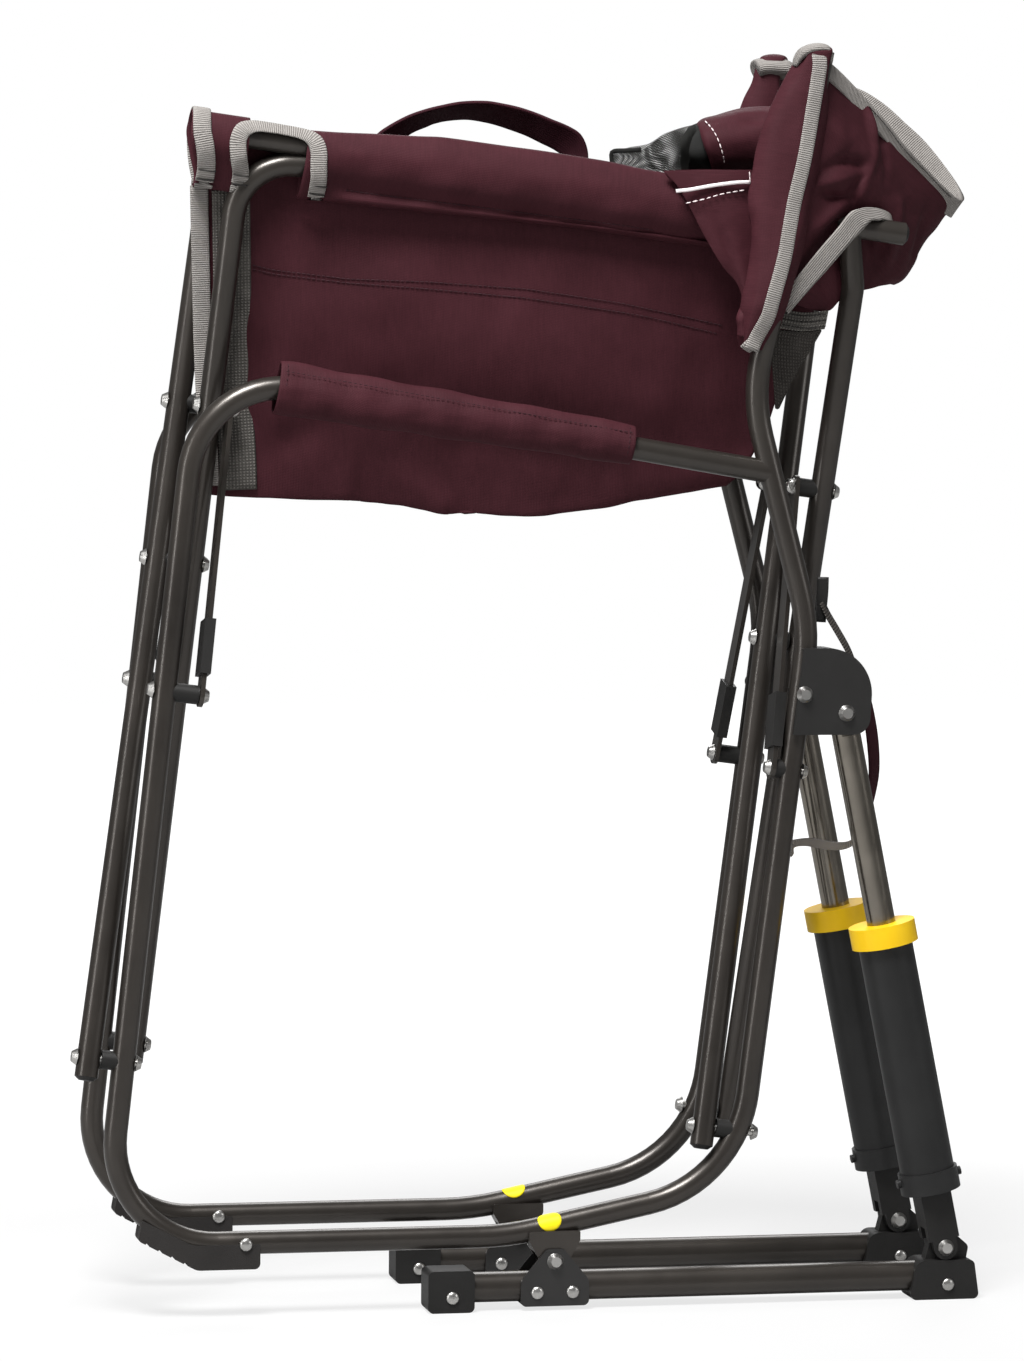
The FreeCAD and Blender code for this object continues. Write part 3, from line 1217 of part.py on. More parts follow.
def build():
    for side, sign in SIDES:
        side_tube(side, sign)
        rubber_foot(side, sign)
        rock_lug(side, sign)
        piston_bracket(side, sign)
        frame_bolts(side, sign)
        foot_spacers(side, sign)
        arm_sleeve(side, sign)
        back_sleeve(side, sign)
        base_rail(side, sign)
        front_cap(side, sign)
        rear_cap(side, sign)
        rock_saddle(side, sign)
        base_fasteners(side, sign)
        piston_cylinder(side, sign)
        piston_collar(side, sign)
        piston_fork(side, sign)
        piston_rod(side, sign)
        brace_bars(side, sign)
        brace_sleeves(side, sign)
        brace_bolts(side, sign)
        crossed_tubes(side, FRAMES[side])
        end_plugs(side, FRAMES[side])
        frame_spacers(side, FRAMES[side])
        frame_pivot_bolts(side, FRAMES[side])
    seat_panel("near", FRAMES["far"], -1)
    seat_panel("far", FRAMES["near"], 1)
    back_panel()
    mesh_pocket()
    carry_handle()
    retaining_strap()


def check_and_write():
    doc.recompute()
    for piece in doc.Objects:
        if "Invalid" in piece.State or "Error" in piece.State:
            raise RuntimeError(f"{piece.Label} failed: {piece.State}")
    for piece in nodes:
        shape = piece.Shape
        if shape.isNull() or not shape.isValid() or not shape.Solids:
            raise RuntimeError(f"{piece.Label} has no valid solid")
    for piece in nodes:
        piece.Shape.exportStep(f"parts/{piece.Label}.step")
    print(len(nodes), "pieces written")


build()
check_and_write()
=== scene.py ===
import json
import math

import bmesh
import bpy
from mathutils import Matrix, Vector, bvhtree, kdtree, noise


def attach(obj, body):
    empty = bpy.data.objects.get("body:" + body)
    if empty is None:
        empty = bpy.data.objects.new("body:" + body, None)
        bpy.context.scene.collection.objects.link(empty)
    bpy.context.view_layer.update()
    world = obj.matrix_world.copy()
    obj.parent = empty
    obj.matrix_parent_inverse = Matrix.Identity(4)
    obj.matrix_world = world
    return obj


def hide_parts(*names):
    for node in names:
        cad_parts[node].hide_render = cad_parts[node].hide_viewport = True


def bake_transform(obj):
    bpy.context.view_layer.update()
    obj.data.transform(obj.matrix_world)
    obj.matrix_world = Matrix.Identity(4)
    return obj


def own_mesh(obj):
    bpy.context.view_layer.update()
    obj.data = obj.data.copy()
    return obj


# The looks of a side-folding rocking chair, folded flat: painted tubes, pistons, bolts and gathered cloth.

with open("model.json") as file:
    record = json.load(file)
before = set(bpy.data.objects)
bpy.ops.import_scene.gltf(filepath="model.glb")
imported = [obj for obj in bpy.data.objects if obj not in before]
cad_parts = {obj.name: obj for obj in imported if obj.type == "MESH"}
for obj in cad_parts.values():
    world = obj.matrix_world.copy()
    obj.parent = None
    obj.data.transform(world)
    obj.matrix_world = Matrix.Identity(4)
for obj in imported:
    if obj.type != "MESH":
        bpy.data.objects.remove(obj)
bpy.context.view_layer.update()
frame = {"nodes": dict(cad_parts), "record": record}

MM = 0.001
# The direction that faces the camera's side of the chair.
TOWARDS = Vector((0, -1, 0))
SIDES = (("near", -1), ("far", 1))
CROSS = {"near": "near_footed_cross_frame", "far": "far_footed_cross_frame"}
# The crossed frame that carries each side's seat rail.
RAIL_BODY = {"near": CROSS["far"], "far": CROSS["near"]}

# The photograph's camera, in a picture of 1024 by 1361 pixels.
PICTURE = (1024, 1361)
FOCAL_PIXELS = 5500
YAW = math.radians(11.995)
PITCH = math.radians(3.631)
ROLL = math.radians(0.532)
EYE = Vector((-0.7969, -3.7346, 0.6722))
AHEAD = Vector((math.sin(YAW) * math.cos(PITCH), math.cos(YAW) * math.cos(PITCH), -math.sin(PITCH)))
LEVEL = Vector((math.cos(YAW), -math.sin(YAW), 0))
LIFT = LEVEL.cross(AHEAD)
RIGHT = LEVEL * math.cos(ROLL) + LIFT * math.sin(ROLL)
UP = LIFT * math.cos(ROLL) - LEVEL * math.sin(ROLL)

# The folding axes fall towards the rear: s runs along them and n is square to them, in millimetres. The rails
# lie this far out and this high.
TILT = math.radians(7.4)
ALONG = Vector((math.cos(TILT), 0, -math.sin(TILT)))
SQUARE = Vector((math.sin(TILT), 0, math.cos(TILT)))
RAIL_Y = 51.5
RAIL_N = 769.4
TUBE_R = 8


def seen(x, y, depth):
    """The point at a depth across the chair, in millimetres, that the camera shows at a pixel."""
    ray = AHEAD + RIGHT * ((x - PICTURE[0] / 2) / FOCAL_PIXELS) + UP * ((PICTURE[1] / 2 - y) / FOCAL_PIXELS)
    return EYE + ray * ((depth * MM - EYE.y) / ray.y)


def at(s, y, n):
    return (ALONG * s + SQUARE * n + Vector((0, y, 0))) * MM


# Meshes.


def keep(name, mesh, finish, smooth=True):
    """A piece at the origin with one finish."""
    piece = bpy.data.objects.new(name, mesh)
    bpy.context.scene.collection.objects.link(piece)
    mesh.materials.clear()
    mesh.materials.append(finish)
    if smooth:
        mesh.shade_smooth()
    return piece


def mesh_of(name, points, faces, uvs=None):
    mesh = bpy.data.meshes.new(name)
    mesh.from_pydata([tuple(p) for p in points], [], faces)
    if uvs:
        layer = mesh.uv_layers.new(name="weave")
        for loop in mesh.loops:
            layer.data[loop.index].uv = uvs[loop.vertex_index]
    return mesh


def recalculated(mesh, weld=True):
    """The mesh with its faces turned outwards, and points in one place made one."""
    work = bmesh.new()
    work.from_mesh(mesh)
    if weld:
        bmesh.ops.remove_doubles(work, verts=work.verts, dist=1e-6)
    bmesh.ops.recalc_face_normals(work, faces=work.faces)
    work.to_mesh(mesh)
    work.free()
    return mesh


def around(count):
    """The cosine and sine of even turns, once round."""
    turns = [2 * math.pi * j / count for j in range(count)]
    return [(math.cos(turn), math.sin(turn)) for turn in turns]


def ring_faces(rows, sides, closed=True):
    """Faces between rows of points that have one point for each side."""
    found = []
    for i in range(rows - 1):
        for j in range(sides if closed else sides - 1):
            k = (j + 1) % sides
            found.append((i * sides + j, i * sides + k, (i + 1) * sides + k, (i + 1) * sides + j))
    return found


def end_caps(rows, sides):
    return [tuple(range(sides - 1, -1, -1)), tuple(range((rows - 1) * sides, rows * sides))]


def heading_at(points, i):
    """Which way a line of points runs at one of them."""
    return (points[min(i + 1, len(points) - 1)] - points[max(i - 1, 0)]).normalized()


def directions(*spots):
    return [Vector(spot) for spot in spots]


def smooth_line(points, count, closed=False):
    """Points along a smooth line through the given ones."""
    last = len(points)
    found = []
    spans = last if closed else last - 1
    for i in range(count):
        t = i / (count if closed else count - 1) * spans
        k = min(int(t), spans - 1)
        t -= k
        if closed:
            a, b, c, d = (points[(k + j) % last] for j in (-1, 0, 1, 2))
        else:
            b, c = points[k], points[k + 1]
            a = points[k - 1] if k > 0 else b * 2 - c
            d = points[k + 2] if k + 2 < last else c * 2 - b
        spot = b * 2 + (c - a) * t + (a * 2 - b * 5 + c * 4 - d) * t * t + (b * 3 - a - c * 3 + d) * t * t * t
        found.append(spot * 0.5)
    return found


def lengths(points):
    found = [0.0]
    for a, b in zip(points, points[1:]):
        found.append(found[-1] + (b - a).length)
    return found


def even_line(points, step):
    """A smooth line with points a step apart."""
    fine = smooth_line(points, 24 * len(points))
    marks = lengths(fine)
    count = max(2, round(marks[-1] / step) + 1)
    found = []
    k = 0
    for i in range(count):
        want = marks[-1] * i / (count - 1)
        while k < len(fine) - 2 and marks[k + 1] < want:
            k += 1
        span = marks[k + 1] - marks[k]
        share = (want - marks[k]) / span if span else 0
        found.append(fine[k].lerp(fine[k + 1], share))
    return found


def cloth_grid(name, rows, across, down, closed=False):
    """A smooth cloth surface through rows of points, with its weave laid out in metres."""
    wide = [smooth_line(row, across, closed) for row in rows]
    columns = [smooth_line([row[j] for row in wide], down) for j in range(across)]
    drops = [lengths(column) for column in columns]
    points = []
    uvs = []
    for i in range(down):
        row = [column[i] for column in columns]
        points += row
        uvs += [(u, drop[i]) for u, drop in zip(lengths(row), drops)]
    return mesh_of(name, points, ring_faces(down, across, closed), uvs)


def sewn(name, rows, across, down, wall, shape=None, finish=None, closed=False):
    """A sewn piece: a smooth surface through rows of points, shaped by a function and given its wall."""
    mesh = recalculated(cloth_grid(name, rows, across, down, closed))
    if shape:
        shape(mesh)
    piece = keep(name, mesh, finish or MAROON)
    return thicken(piece, wall) if wall else piece


def crumple(mesh, height, size, seed, stretch=(1, 1, 1), fade=None):
    """Moves the cloth along its normals by soft noise, so that it lies as real cloth does."""
    shift = Vector((seed * 7.3, seed * 3.1, seed * 5.7))
    moves = []
    for vertex in mesh.vertices:
        spot = vertex.co / size
        spot = Vector((spot.x * stretch[0], spot.y * stretch[1], spot.z * stretch[2])) + shift
        value = noise.noise(spot) + 0.4 * noise.noise(spot * 2.3)
        share = fade(vertex.co) if fade else 1
        moves.append(vertex.normal * (value * height * share))
    for vertex, move in zip(mesh.vertices, moves):
        vertex.co += move
    return mesh


def thicken(piece, thickness):
    wall = piece.modifiers.new("cloth wall", "SOLIDIFY")
    wall.thickness = thickness
    wall.offset = 0
    return piece


def band_mesh(name, points, normals, width, thickness, rounding=10):
    """A flat woven band with soft edges that follows points; its face looks along normals."""
    rings = []
    uvs = []
    for i, (spot, mark) in enumerate(zip(points, lengths(points))):
        heading = heading_at(points, i)
        side = heading.cross(normals[i] if isinstance(normals, list) else normals).normalized()
        face = side.cross(heading).normalized()
        for c, s in around(rounding):
            over = math.copysign(abs(c) ** 0.55, c) * width / 2
            out = math.copysign(abs(s) ** 0.75, s) * thickness / 2
            rings.append(spot + side * over + face * out)
            uvs.append((mark, over))
    faces = ring_faces(len(points), rounding) + end_caps(len(points), rounding)
    return recalculated(mesh_of(name, rings, faces, uvs), weld=False)


def band(name, points, normals, width, thickness, finish, step=0.004):
    """A band through given points; normals is one direction, or one for each point."""
    line = even_line(points, step)
    if isinstance(normals, list):
        normals = smooth_line(normals, len(line))
    return keep(name, band_mesh(name, line, normals, width, thickness), finish)


# Finishes. Lengths inside the nodes are metres.


class Nodes:
    """A node tree whose nodes are added one by one."""

    def __init__(self, tree):
        self.tree = tree

    def feed(self, socket, value):
        if isinstance(value, bpy.types.NodeSocket):
            self.tree.links.new(value, socket)
        elif value is not None:
            socket.default_value = value

    def set(self, node, **values):
        for name, value in values.items():
            self.feed(node.inputs[name.replace("_", " ")], value)

    def add(self, kind, settings=None, **values):
        node = self.tree.nodes.new(kind)
        for name, value in (settings or {}).items():
            setattr(node, name, value)
        self.set(node, **values)
        return node

    def math(self, operation, a, b=None):
        node = self.add("ShaderNodeMath", {"operation": operation})
        self.feed(node.inputs[0], a)
        self.feed(node.inputs[1], b)
        return node.outputs[0]

    def scaled(self, value, factor, plus=None):
        product = self.math("MULTIPLY", value, factor)
        return product if plus is None else self.math("ADD", product, plus)

    def mixed(self, share, first, second, output):
        """Sends a mix of two shaders to the tree's output node."""
        mix = self.add("ShaderNodeMixShader")
        for socket, value in zip(mix.inputs, (share, first.outputs[0], second.outputs[0])):
            self.feed(socket, value)
        self.set(self.tree.nodes[output], Surface=mix.outputs[0])


class Finish(Nodes):
    """A material."""

    def __init__(self, name, color, roughness, metallic=0.0, **more):
        self.material = bpy.data.materials.new(name)
        self.material.use_nodes = True
        super().__init__(self.material.node_tree)
        self.shader = self.tree.nodes["Principled BSDF"]
        self.shade(Base_Color=(*color, 1), Roughness=roughness, Metallic=metallic, **more)

    def shade(self, **values):
        self.set(self.shader, **values)
        return self.material

    def place(self, layer=None):
        """Where on the piece: its own weave map, or its place in the chair."""
        if layer:
            return self.add("ShaderNodeUVMap", {"uv_map": layer}).outputs["UV"]
        return self.add("ShaderNodeTexCoord").outputs["Object"]

    def noise(self, where, scale, detail=3, roughness=0.5, stretch=None):
        if stretch:
            where = self.add("ShaderNodeMapping", Vector=where, Scale=stretch).outputs["Vector"]
        return self.add("ShaderNodeTexNoise", Vector=where, Scale=scale, Detail=detail,
                        Roughness=roughness).outputs["Fac"]

    def ramp(self, value, *stops):
        node = self.add("ShaderNodeValToRGB", Fac=value)
        for element, (position, color) in zip(node.color_ramp.elements, stops):
            element.position = position
            element.color = (*color, 1)
        return node.outputs["Color"]

    def bump(self, height, strength, distance):
        return self.add("ShaderNodeBump", Height=height, Strength=strength, Distance=distance).outputs["Normal"]

    def waves(self, where, axis, pitch):
        """Threads across one axis of the weave map, from 0 to 1."""
        split = self.add("ShaderNodeSeparateXYZ", Vector=where)
        turns = self.math("MULTIPLY", split.outputs[axis], 2 * math.pi / pitch)
        return self.scaled(self.math("SINE", turns), 0.5, 0.5)


def painted(name, low, high, roughness, metallic):
    """Powder coat: a faint orange peel, uneven tone and a few rubbed spots."""
    finish = Finish(name, high, roughness, metallic, Coat_Weight=0.3, Coat_Roughness=0.24)
    where = finish.place()
    tone = finish.noise(where, 9, 4, 0.6)
    rough = finish.noise(where, 60, 3)
    peel = finish.noise(where, 900, 2)
    return finish.shade(Base_Color=finish.ramp(tone, (0.3, low), (0.72, high)),
                        Roughness=finish.scaled(rough, 0.16, roughness - 0.08),
                        Normal=finish.bump(peel, 0.05, 0.0003))


def moulded(name, color, roughness, grain=0.25):
    """Moulded plastic or rubber with a fine spark-eroded grain."""
    finish = Finish(name, color, roughness, 0.0, Specular_IOR_Level=0.3)
    where = finish.place()
    tone = finish.noise(where, 25, 3)
    light = tuple(min(1, c * 1.35 + 0.002) for c in color)
    return finish.shade(Base_Color=finish.ramp(tone, (0.3, color), (0.8, light)),
                        Normal=finish.bump(finish.noise(where, 1400, 2), grain, 0.0004))


def bare_steel(name, color, roughness, stretch):
    """Plated or polished steel with fine drawing marks along one axis."""
    finish = Finish(name, color, roughness, 1.0)
    where = finish.place()
    marks = finish.noise(where, 500, 4, 0.6, stretch)
    cloudy = finish.noise(where, 40, 3)
    dull = tuple(c * 0.8 for c in color)
    return finish.shade(Base_Color=finish.ramp(cloudy, (0.35, dull), (0.65, color)),
                        Roughness=finish.scaled(marks, 0.18, roughness - 0.07),
                        Normal=finish.bump(marks, 0.08, 0.0002))


def woven(name, dark, light, roughness, pitch, depth):
    """Cloth with crossing threads at one pitch and uneven dye."""
    finish = Finish(name, light, roughness, 0.0, Sheen_Weight=0, Sheen_Roughness=0.5, Specular_IOR_Level=0.1)
    where = finish.place("weave")
    threads = finish.math("MULTIPLY", finish.waves(where, 0, pitch), finish.waves(where, 1, pitch))
    cloudy = finish.noise(where, 14, 4, 0.6)
    strands = finish.noise(where, 260, 2, 0.5, (0.25, 1.6, 1))
    mix = finish.scaled(cloudy, 0.6, finish.scaled(strands, 0.25, finish.scaled(threads, 0.18)))
    return finish.shade(Base_Color=finish.ramp(mix, (0.25, dark), (0.8, light)),
                        Normal=finish.bump(threads, depth, 0.0005))


def ribbed(name, dark, light, pitch, depth, cross=0):
    """Grosgrain: ribs across the band, or a basket weave where cross has a pitch of its own."""
    finish = Finish(name, light, 0.8, 0.0, Specular_IOR_Level=0.15)
    where = finish.place("weave")
    ribs = finish.waves(where, 0, pitch)
    if cross:
        ribs = finish.math("MULTIPLY", ribs, finish.waves(where, 1, cross))
    mix = finish.scaled(ribs, 0.55, finish.scaled(finish.noise(where, 60, 3, 0.6), 0.5))
    return finish.shade(Base_Color=finish.ramp(mix, (0.2, dark), (0.75, light)),
                        Normal=finish.bump(ribs, depth, 0.0007))


def netting(name, color, pitch):
    """Open net: threads on a fine diamond grid with holes between them."""
    finish = Finish(name, color, 0.9, 0.0, Specular_IOR_Level=0.05)
    where = finish.place("weave")
    turned = finish.add("ShaderNodeMapping", Vector=where, Rotation=(0, 0, math.radians(45))).outputs["Vector"]
    grid = finish.math("MAXIMUM", finish.waves(turned, 0, pitch), finish.waves(turned, 1, pitch))
    worn = finish.ramp(finish.noise(where, 90, 2), (0.3, color), (0.7, (0.03, 0.03, 0.028)))
    return finish.shade(Alpha=finish.math("GREATER_THAN", grid, 0.56), Base_Color=worn)


TUBE = painted("gunmetal powder coat", (0.036, 0.031, 0.027), (0.06, 0.052, 0.045), 0.33, 0.6)
BLACK_STEEL = painted("black powder coat", (0.009, 0.0085, 0.008), (0.017, 0.016, 0.0155), 0.45, 0.1)
CYLINDER = moulded("black cylinder", (0.014, 0.014, 0.014), 0.42, 0.15)
PLASTIC = moulded("black plastic", (0.011, 0.0105, 0.01), 0.5)
YELLOW = moulded("yellow plastic", (0.8, 0.47, 0.004), 0.45, 0.08)
RUBBER = moulded("dark rubber", (0.02, 0.018, 0.017), 0.75, 0.5)
ZINC = bare_steel("bright zinc", (0.56, 0.55, 0.53), 0.3, (1, 1, 1))
CHROME = bare_steel("polished rod", (0.27, 0.245, 0.21), 0.2, (1, 1, 0.04))
MAROON = woven("maroon cloth", (0.036, 0.009, 0.0125), (0.072, 0.0195, 0.0265), 0.66, 0.0011, 0.3)
WEBBING = woven("maroon webbing", (0.024, 0.006, 0.0095), (0.055, 0.0145, 0.021), 0.75, 0.0016, 0.6)
BINDING = ribbed("grey binding", (0.17, 0.155, 0.145), (0.36, 0.34, 0.32), 0.0015, 0.8)
EDGE_WEBBING = ribbed("grey edge webbing", (0.07, 0.065, 0.06), (0.2, 0.188, 0.17), 0.0021, 0.9, 0.0024)
REAR_WEBBING = ribbed("dark rear webbing", (0.035, 0.031, 0.028), (0.085, 0.078, 0.07), 0.0021, 0.9, 0.0024)
NET = netting("black net", (0.012, 0.012, 0.011), 0.0013)
BUNDLE = moulded("black gathered net", (0.008, 0.008, 0.0075), 0.85, 0.6)
WHITE_THREAD = moulded("white thread", (0.72, 0.62, 0.62), 0.7, 0.3)
MAROON_THREAD = moulded("maroon thread", (0.03, 0.008, 0.012), 0.8, 0.3)
BLACK_THREAD = moulded("black thread", (0.02, 0.018, 0.017), 0.8, 0.3)
STICKER = moulded("yellow sticker", (0.83, 0.62, 0.004), 0.5, 0.05)
PIPING = moulded("white piping", (0.78, 0.7, 0.7), 0.55, 0.3)

SLOT_FINISH = {
    "frame_paint": TUBE, "black_steel": BLACK_STEEL, "cylinder_black": CYLINDER, "black_plastic": PLASTIC,
    "yellow_plastic": YELLOW, "foot_rubber": RUBBER, "zinc_fasteners": ZINC, "chrome_rod": CHROME,
    "maroon_cloth": MAROON, "maroon_webbing": WEBBING, "grey_binding": BINDING, "black_mesh": NET,
}
for part in frame["record"]["subparts"]:
    carried = frame["nodes"][part["node"]]
    carried.data.materials.clear()
    carried.data.materials.append(SLOT_FINISH[part["material_slot"]])


# Stage, light and camera.


def stage():
    """A pale floor that is shaded close to the chair and melts into the white behind it."""
    reach = 6
    floor = mesh_of("floor", [(-reach, -reach, 0), (reach, -reach, 0), (reach, reach, 0), (-reach, reach, 0)],
                    [(0, 1, 2, 3)])
    pale = Finish("pale floor", (0.42, 0.42, 0.42), 0.95, 0.0, Specular_IOR_Level=0.1)
    where = pale.place()
    tone = pale.ramp(pale.noise(where, 3, 2), (0.3, (0.41, 0.41, 0.41)), (0.7, (0.44, 0.44, 0.44)))
    pale.shade(Base_Color=tone)
    glow = pale.add("ShaderNodeEmission", Color=(1, 1, 1, 1), Strength=1.2)
    away = pale.add("ShaderNodeVectorMath", {"operation": "LENGTH"}, Vector=where).outputs["Value"]
    melt = pale.add("ShaderNodeMapRange", Value=away, From_Min=0.45, From_Max=1.3, To_Min=0.62, To_Max=1.0)
    rays = pale.add("ShaderNodeLightPath").outputs
    pale.mixed(pale.math("MULTIPLY", rays["Is Camera Ray"], melt.outputs["Result"]), pale.shader, glow,
               "Material Output")
    keep("floor", floor, pale.material, smooth=False)


def surroundings():
    """A dim white room that the camera sees as plain white."""
    world = bpy.data.worlds.new("studio")
    bpy.context.scene.world = world
    world.use_nodes = True
    air = Nodes(world.node_tree)
    dim = air.tree.nodes["Background"]
    air.set(dim, Color=(1, 1, 1, 1), Strength=0.17)
    white = air.add("ShaderNodeBackground", Color=(1, 1, 1, 1), Strength=1.0)
    rays = air.add("ShaderNodeLightPath").outputs
    shown = air.math("MAXIMUM", rays["Is Camera Ray"], rays["Is Transmission Ray"])
    air.mixed(shown, dim, white, "World Output")


# Each lamp's place, width, height and power, all aimed at the chair's middle.
LAMPS = {"key": ((-0.85, -1.3, 3.1), 1.1, 1.1, 165), "fill": ((2.4, -1.8, 1.2), 0.9, 0.9, 10),
         "rim": ((0.6, 2.4, 2.2), 1.4, 1.4, 30), "strip": ((-2.3, -1.0, 0.8), 0.25, 1.8, 16)}
CHAIR_MIDDLE = Vector((0, 0, 0.45))
FILM_MM = 36


def lamps_and_camera():
    scene = bpy.context.scene
    scene.view_settings.view_transform = "Standard"
    for name, (place, wide, tall, power) in LAMPS.items():
        lamp = bpy.data.lights.new(name, "AREA")
        lamp.shape = "RECTANGLE"
        lamp.size = wide
        lamp.size_y = tall
        lamp.energy = power
        holder = bpy.data.objects.new(name, lamp)
        holder.location = place
        holder.rotation_euler = (CHAIR_MIDDLE - Vector(place)).to_track_quat("-Z", "Y").to_euler()
        scene.collection.objects.link(holder)
    camera = bpy.data.cameras.new("camera")
    camera.sensor_fit = "AUTO"
    camera.sensor_width = FILM_MM
    camera.lens = FOCAL_PIXELS / PICTURE[1] * FILM_MM
    camera.clip_end = 50
    eye = bpy.data.objects.new("camera", camera)
    eye.matrix_world = Matrix.Translation(EYE) @ Matrix((RIGHT, UP, -AHEAD)).transposed().to_4x4()
    scene.collection.objects.link(eye)
    scene.camera = eye


stage()
surroundings()
lamps_and_camera()


# Seat cloth. Its lines are given as places along the rails (s), across the chair (y) or square to them (n).


def ease(a, b, value):
    share = min(1.0, max(0.0, (value - a) / (b - a)))
    return share * share * (3 - 2 * share)


def through(stops, value):
    """The height at a place on a line given by its corners."""
    for (a, low), (b, high) in zip(stops, stops[1:]):
        if value <= b:
            return low + (high - low) * max(0.0, (value - a) / (b - a))
    return stops[-1][1]


FOLD_LINE = ((-290, 526), (-262, 528), (-200, 534), (-150, 537), (-122, 534), (-95, 538), (-58, 541),
             (0, 556), (70, 581), (95, 604))
CLOTH_FRONT = {-1: ((520, -291), (560, -298), (590, -305), (732, -333), (772, -336)),
               1: ((520, -291), (560, -296), (590, -300), (732, -313), (772, -311))}
CLOTH_REAR = ((560, 60), (584, 76), (606, 93), (638, 96), (704, 112), (780, 112))
HEM_LINE = ((-262, 734), (-60, 741), (30, 742), (112, 742))
CLOTH_SIDE = ((520, 0.6), (545, 2.4), (560, 3.6), (618, 8), (735, 36), (760, 41.2), (772, 42.4))
BELLY = ((560, 0), (592, 6), (622, 12), (655, 9.5), (700, 2.5), (735, 0))
SLEEVE_LIFT = ((-262, 0), (-240, 1.5), (-170, 8.5), (-58, 9), (-30, 7.5), (40, 6), (112, 4))


def seat_row(u, sign):
    """From the top of one rail down to the bottom fold, at a share u of the way from front to rear."""
    row = []
    front = CLOTH_FRONT[sign]
    bulge = math.sin(math.pi * min(1, max(0, u))) ** 0.8
    for drop in (0, 0.045, 0.1, 0.16, 0.26, 0.38, 0.5, 0.62, 0.74, 0.86, 0.95, 1):
        n = 772 - drop * 200
        s = through(front, n) * (1 - u) + through(CLOTH_REAR, n) * u
        low = through(FOLD_LINE, s)
        n = 772 - drop * (772 - low)
        s = through(front, n) * (1 - u) + through(CLOTH_REAR, n) * u
        y = through(CLOTH_SIDE, n)
        belly = 7 * math.sin(math.pi * drop) ** 1.5 + through(BELLY, n)
        y += belly * bulge * ease(-300, -240, s)
        row.append(at(s, sign * y if drop < 1 else 0, n))
    return row


def seat_cloth():
    rows = []
    for k in range(26):
        u = k / 25
        near = seat_row(u, -1)
        far = seat_row(u, 1)
        rows.append(near[:-1] + far[::-1])
    mesh = cloth_grid("seat_cloth", rows, 150, 150)

    def free(spot):
        n = spot.dot(SQUARE) / MM
        s = spot.dot(ALONG) / MM
        return ease(745, 700, n) * ease(-285, -235, s) * ease(112, 60, s)

    mesh.update()
    crumple(mesh, 0.0026, 0.075, 3, (0.7, 1, 1), free)
    mesh.update()
    crumple(mesh, 0.0011, 0.03, 8, (1, 1, 0.5), free)
    wrinkle(mesh, seen(345, 495, -2), seen(352, 455, -10), 0.007, 0.0035)
    wrinkle(mesh, seen(440, 508, -3), seen(400, 478, -10), 0.009, 0.003)
    wrinkle(mesh, seen(290, 440, -10), seen(370, 405, -14), 0.012, -0.003)
    wrinkle(mesh, seen(470, 440, -12), seen(600, 470, -10), 0.012, -0.003)
    cloth = thicken(keep("seat_cloth", mesh, MAROON), 0.0009)
    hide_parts("seat_near_panel", "seat_far_panel")
    on_seat(cloth)


def wrinkle(mesh, a, b, width, depth):
    """A soft ridge, or a groove where depth is negative, between two points on the cloth's near side."""
    run = b - a
    for vertex in mesh.vertices:
        share = max(0.0, min(1.0, (vertex.co - a).dot(run) / run.length_squared))
        apart = vertex.co - (a + run * share)
        apart.y *= 0.25
        if apart.length < 3 * width and vertex.co.y < 0.004:
            fall = math.exp(-((apart.length / width) ** 2)) * (1 - 0.7 * share)
            vertex.co.y -= depth * fall


def sleeve_ring(s, sign, lift, hem, slack=0.0):
    """Once round a seat rail, from the hem on the outside over the rail to the hem on the inside."""
    tuck = ease(-255, -215, s) * 4.6
    spots = ((45.8, hem), (50 + tuck * 0.35, hem + 2), (56.2 + slack - tuck * 1.15, 745),
             (60.8 + slack - tuck * 0.3, 755), (61.4, 765 + lift * 0.3),
             (59.4, 772.5 + lift * 0.6), (55.6, 777.4 + lift * 0.9), (51, 779.4 + lift),
             (46.6, 777.6 + lift * 0.9), (43.4, 773 + lift * 0.5), (42.2, 765), (42.8, 752), (43.4, 742),
             (44, hem + 1))
    return [at(s, sign * y, n) for y, n in spots]


def round_rail(name, side, rows, down, shape=None):
    """A piece of cloth round the rail of one side."""
    cloth = sewn(name, rows, 72, down, 0.0011, shape)
    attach(cloth, RAIL_BODY[side])


def seat_sleeve(side, sign):
    rows = []
    for k in range(30):
        s = -262 + k / 29 * 374
        soft = 1.2 * math.sin(k * 1.9) + 0.8 * math.sin(k * 0.7 + 2)
        rows.append(sleeve_ring(s, sign, through(SLEEVE_LIFT, s), through(HEM_LINE, s), soft * 0.8 - 0.6))
    round_rail(side + "_seat_sleeve", side, rows, 150,
               lambda mesh: crumple(mesh, 0.0009, 0.035, 5 + sign, (0.5, 1, 1)))


def strip_ring(s, sign):
    spots = ((46.6, 731), (50, 737), (55.5, 748), (60.2, 758), (61.2, 766), (59.6, 774), (55.6, 779.6),
             (51, 781.6), (46.4, 779.6), (43, 774.5), (41.4, 766), (41, 752), (41.4, 740), (42.4, 731))
    return [at(s, sign * y, n) for y, n in spots]


def seat_strip(side, sign):
    """The short loop of cloth round the front end of the near rail, before the notch for the leg."""
    rows = []
    for share in (0, 0.2, 0.4, 0.6, 0.8, 1):
        high = strip_ring(-342 + 40 * share, sign)
        low = strip_ring(-333 + 33 * share, sign)
        rows.append([a.lerp(b, ease(768, 736, a.dot(SQUARE) / MM)) for a, b in zip(high, low)])
    round_rail(side + "_seat_strip", side, rows, 18)


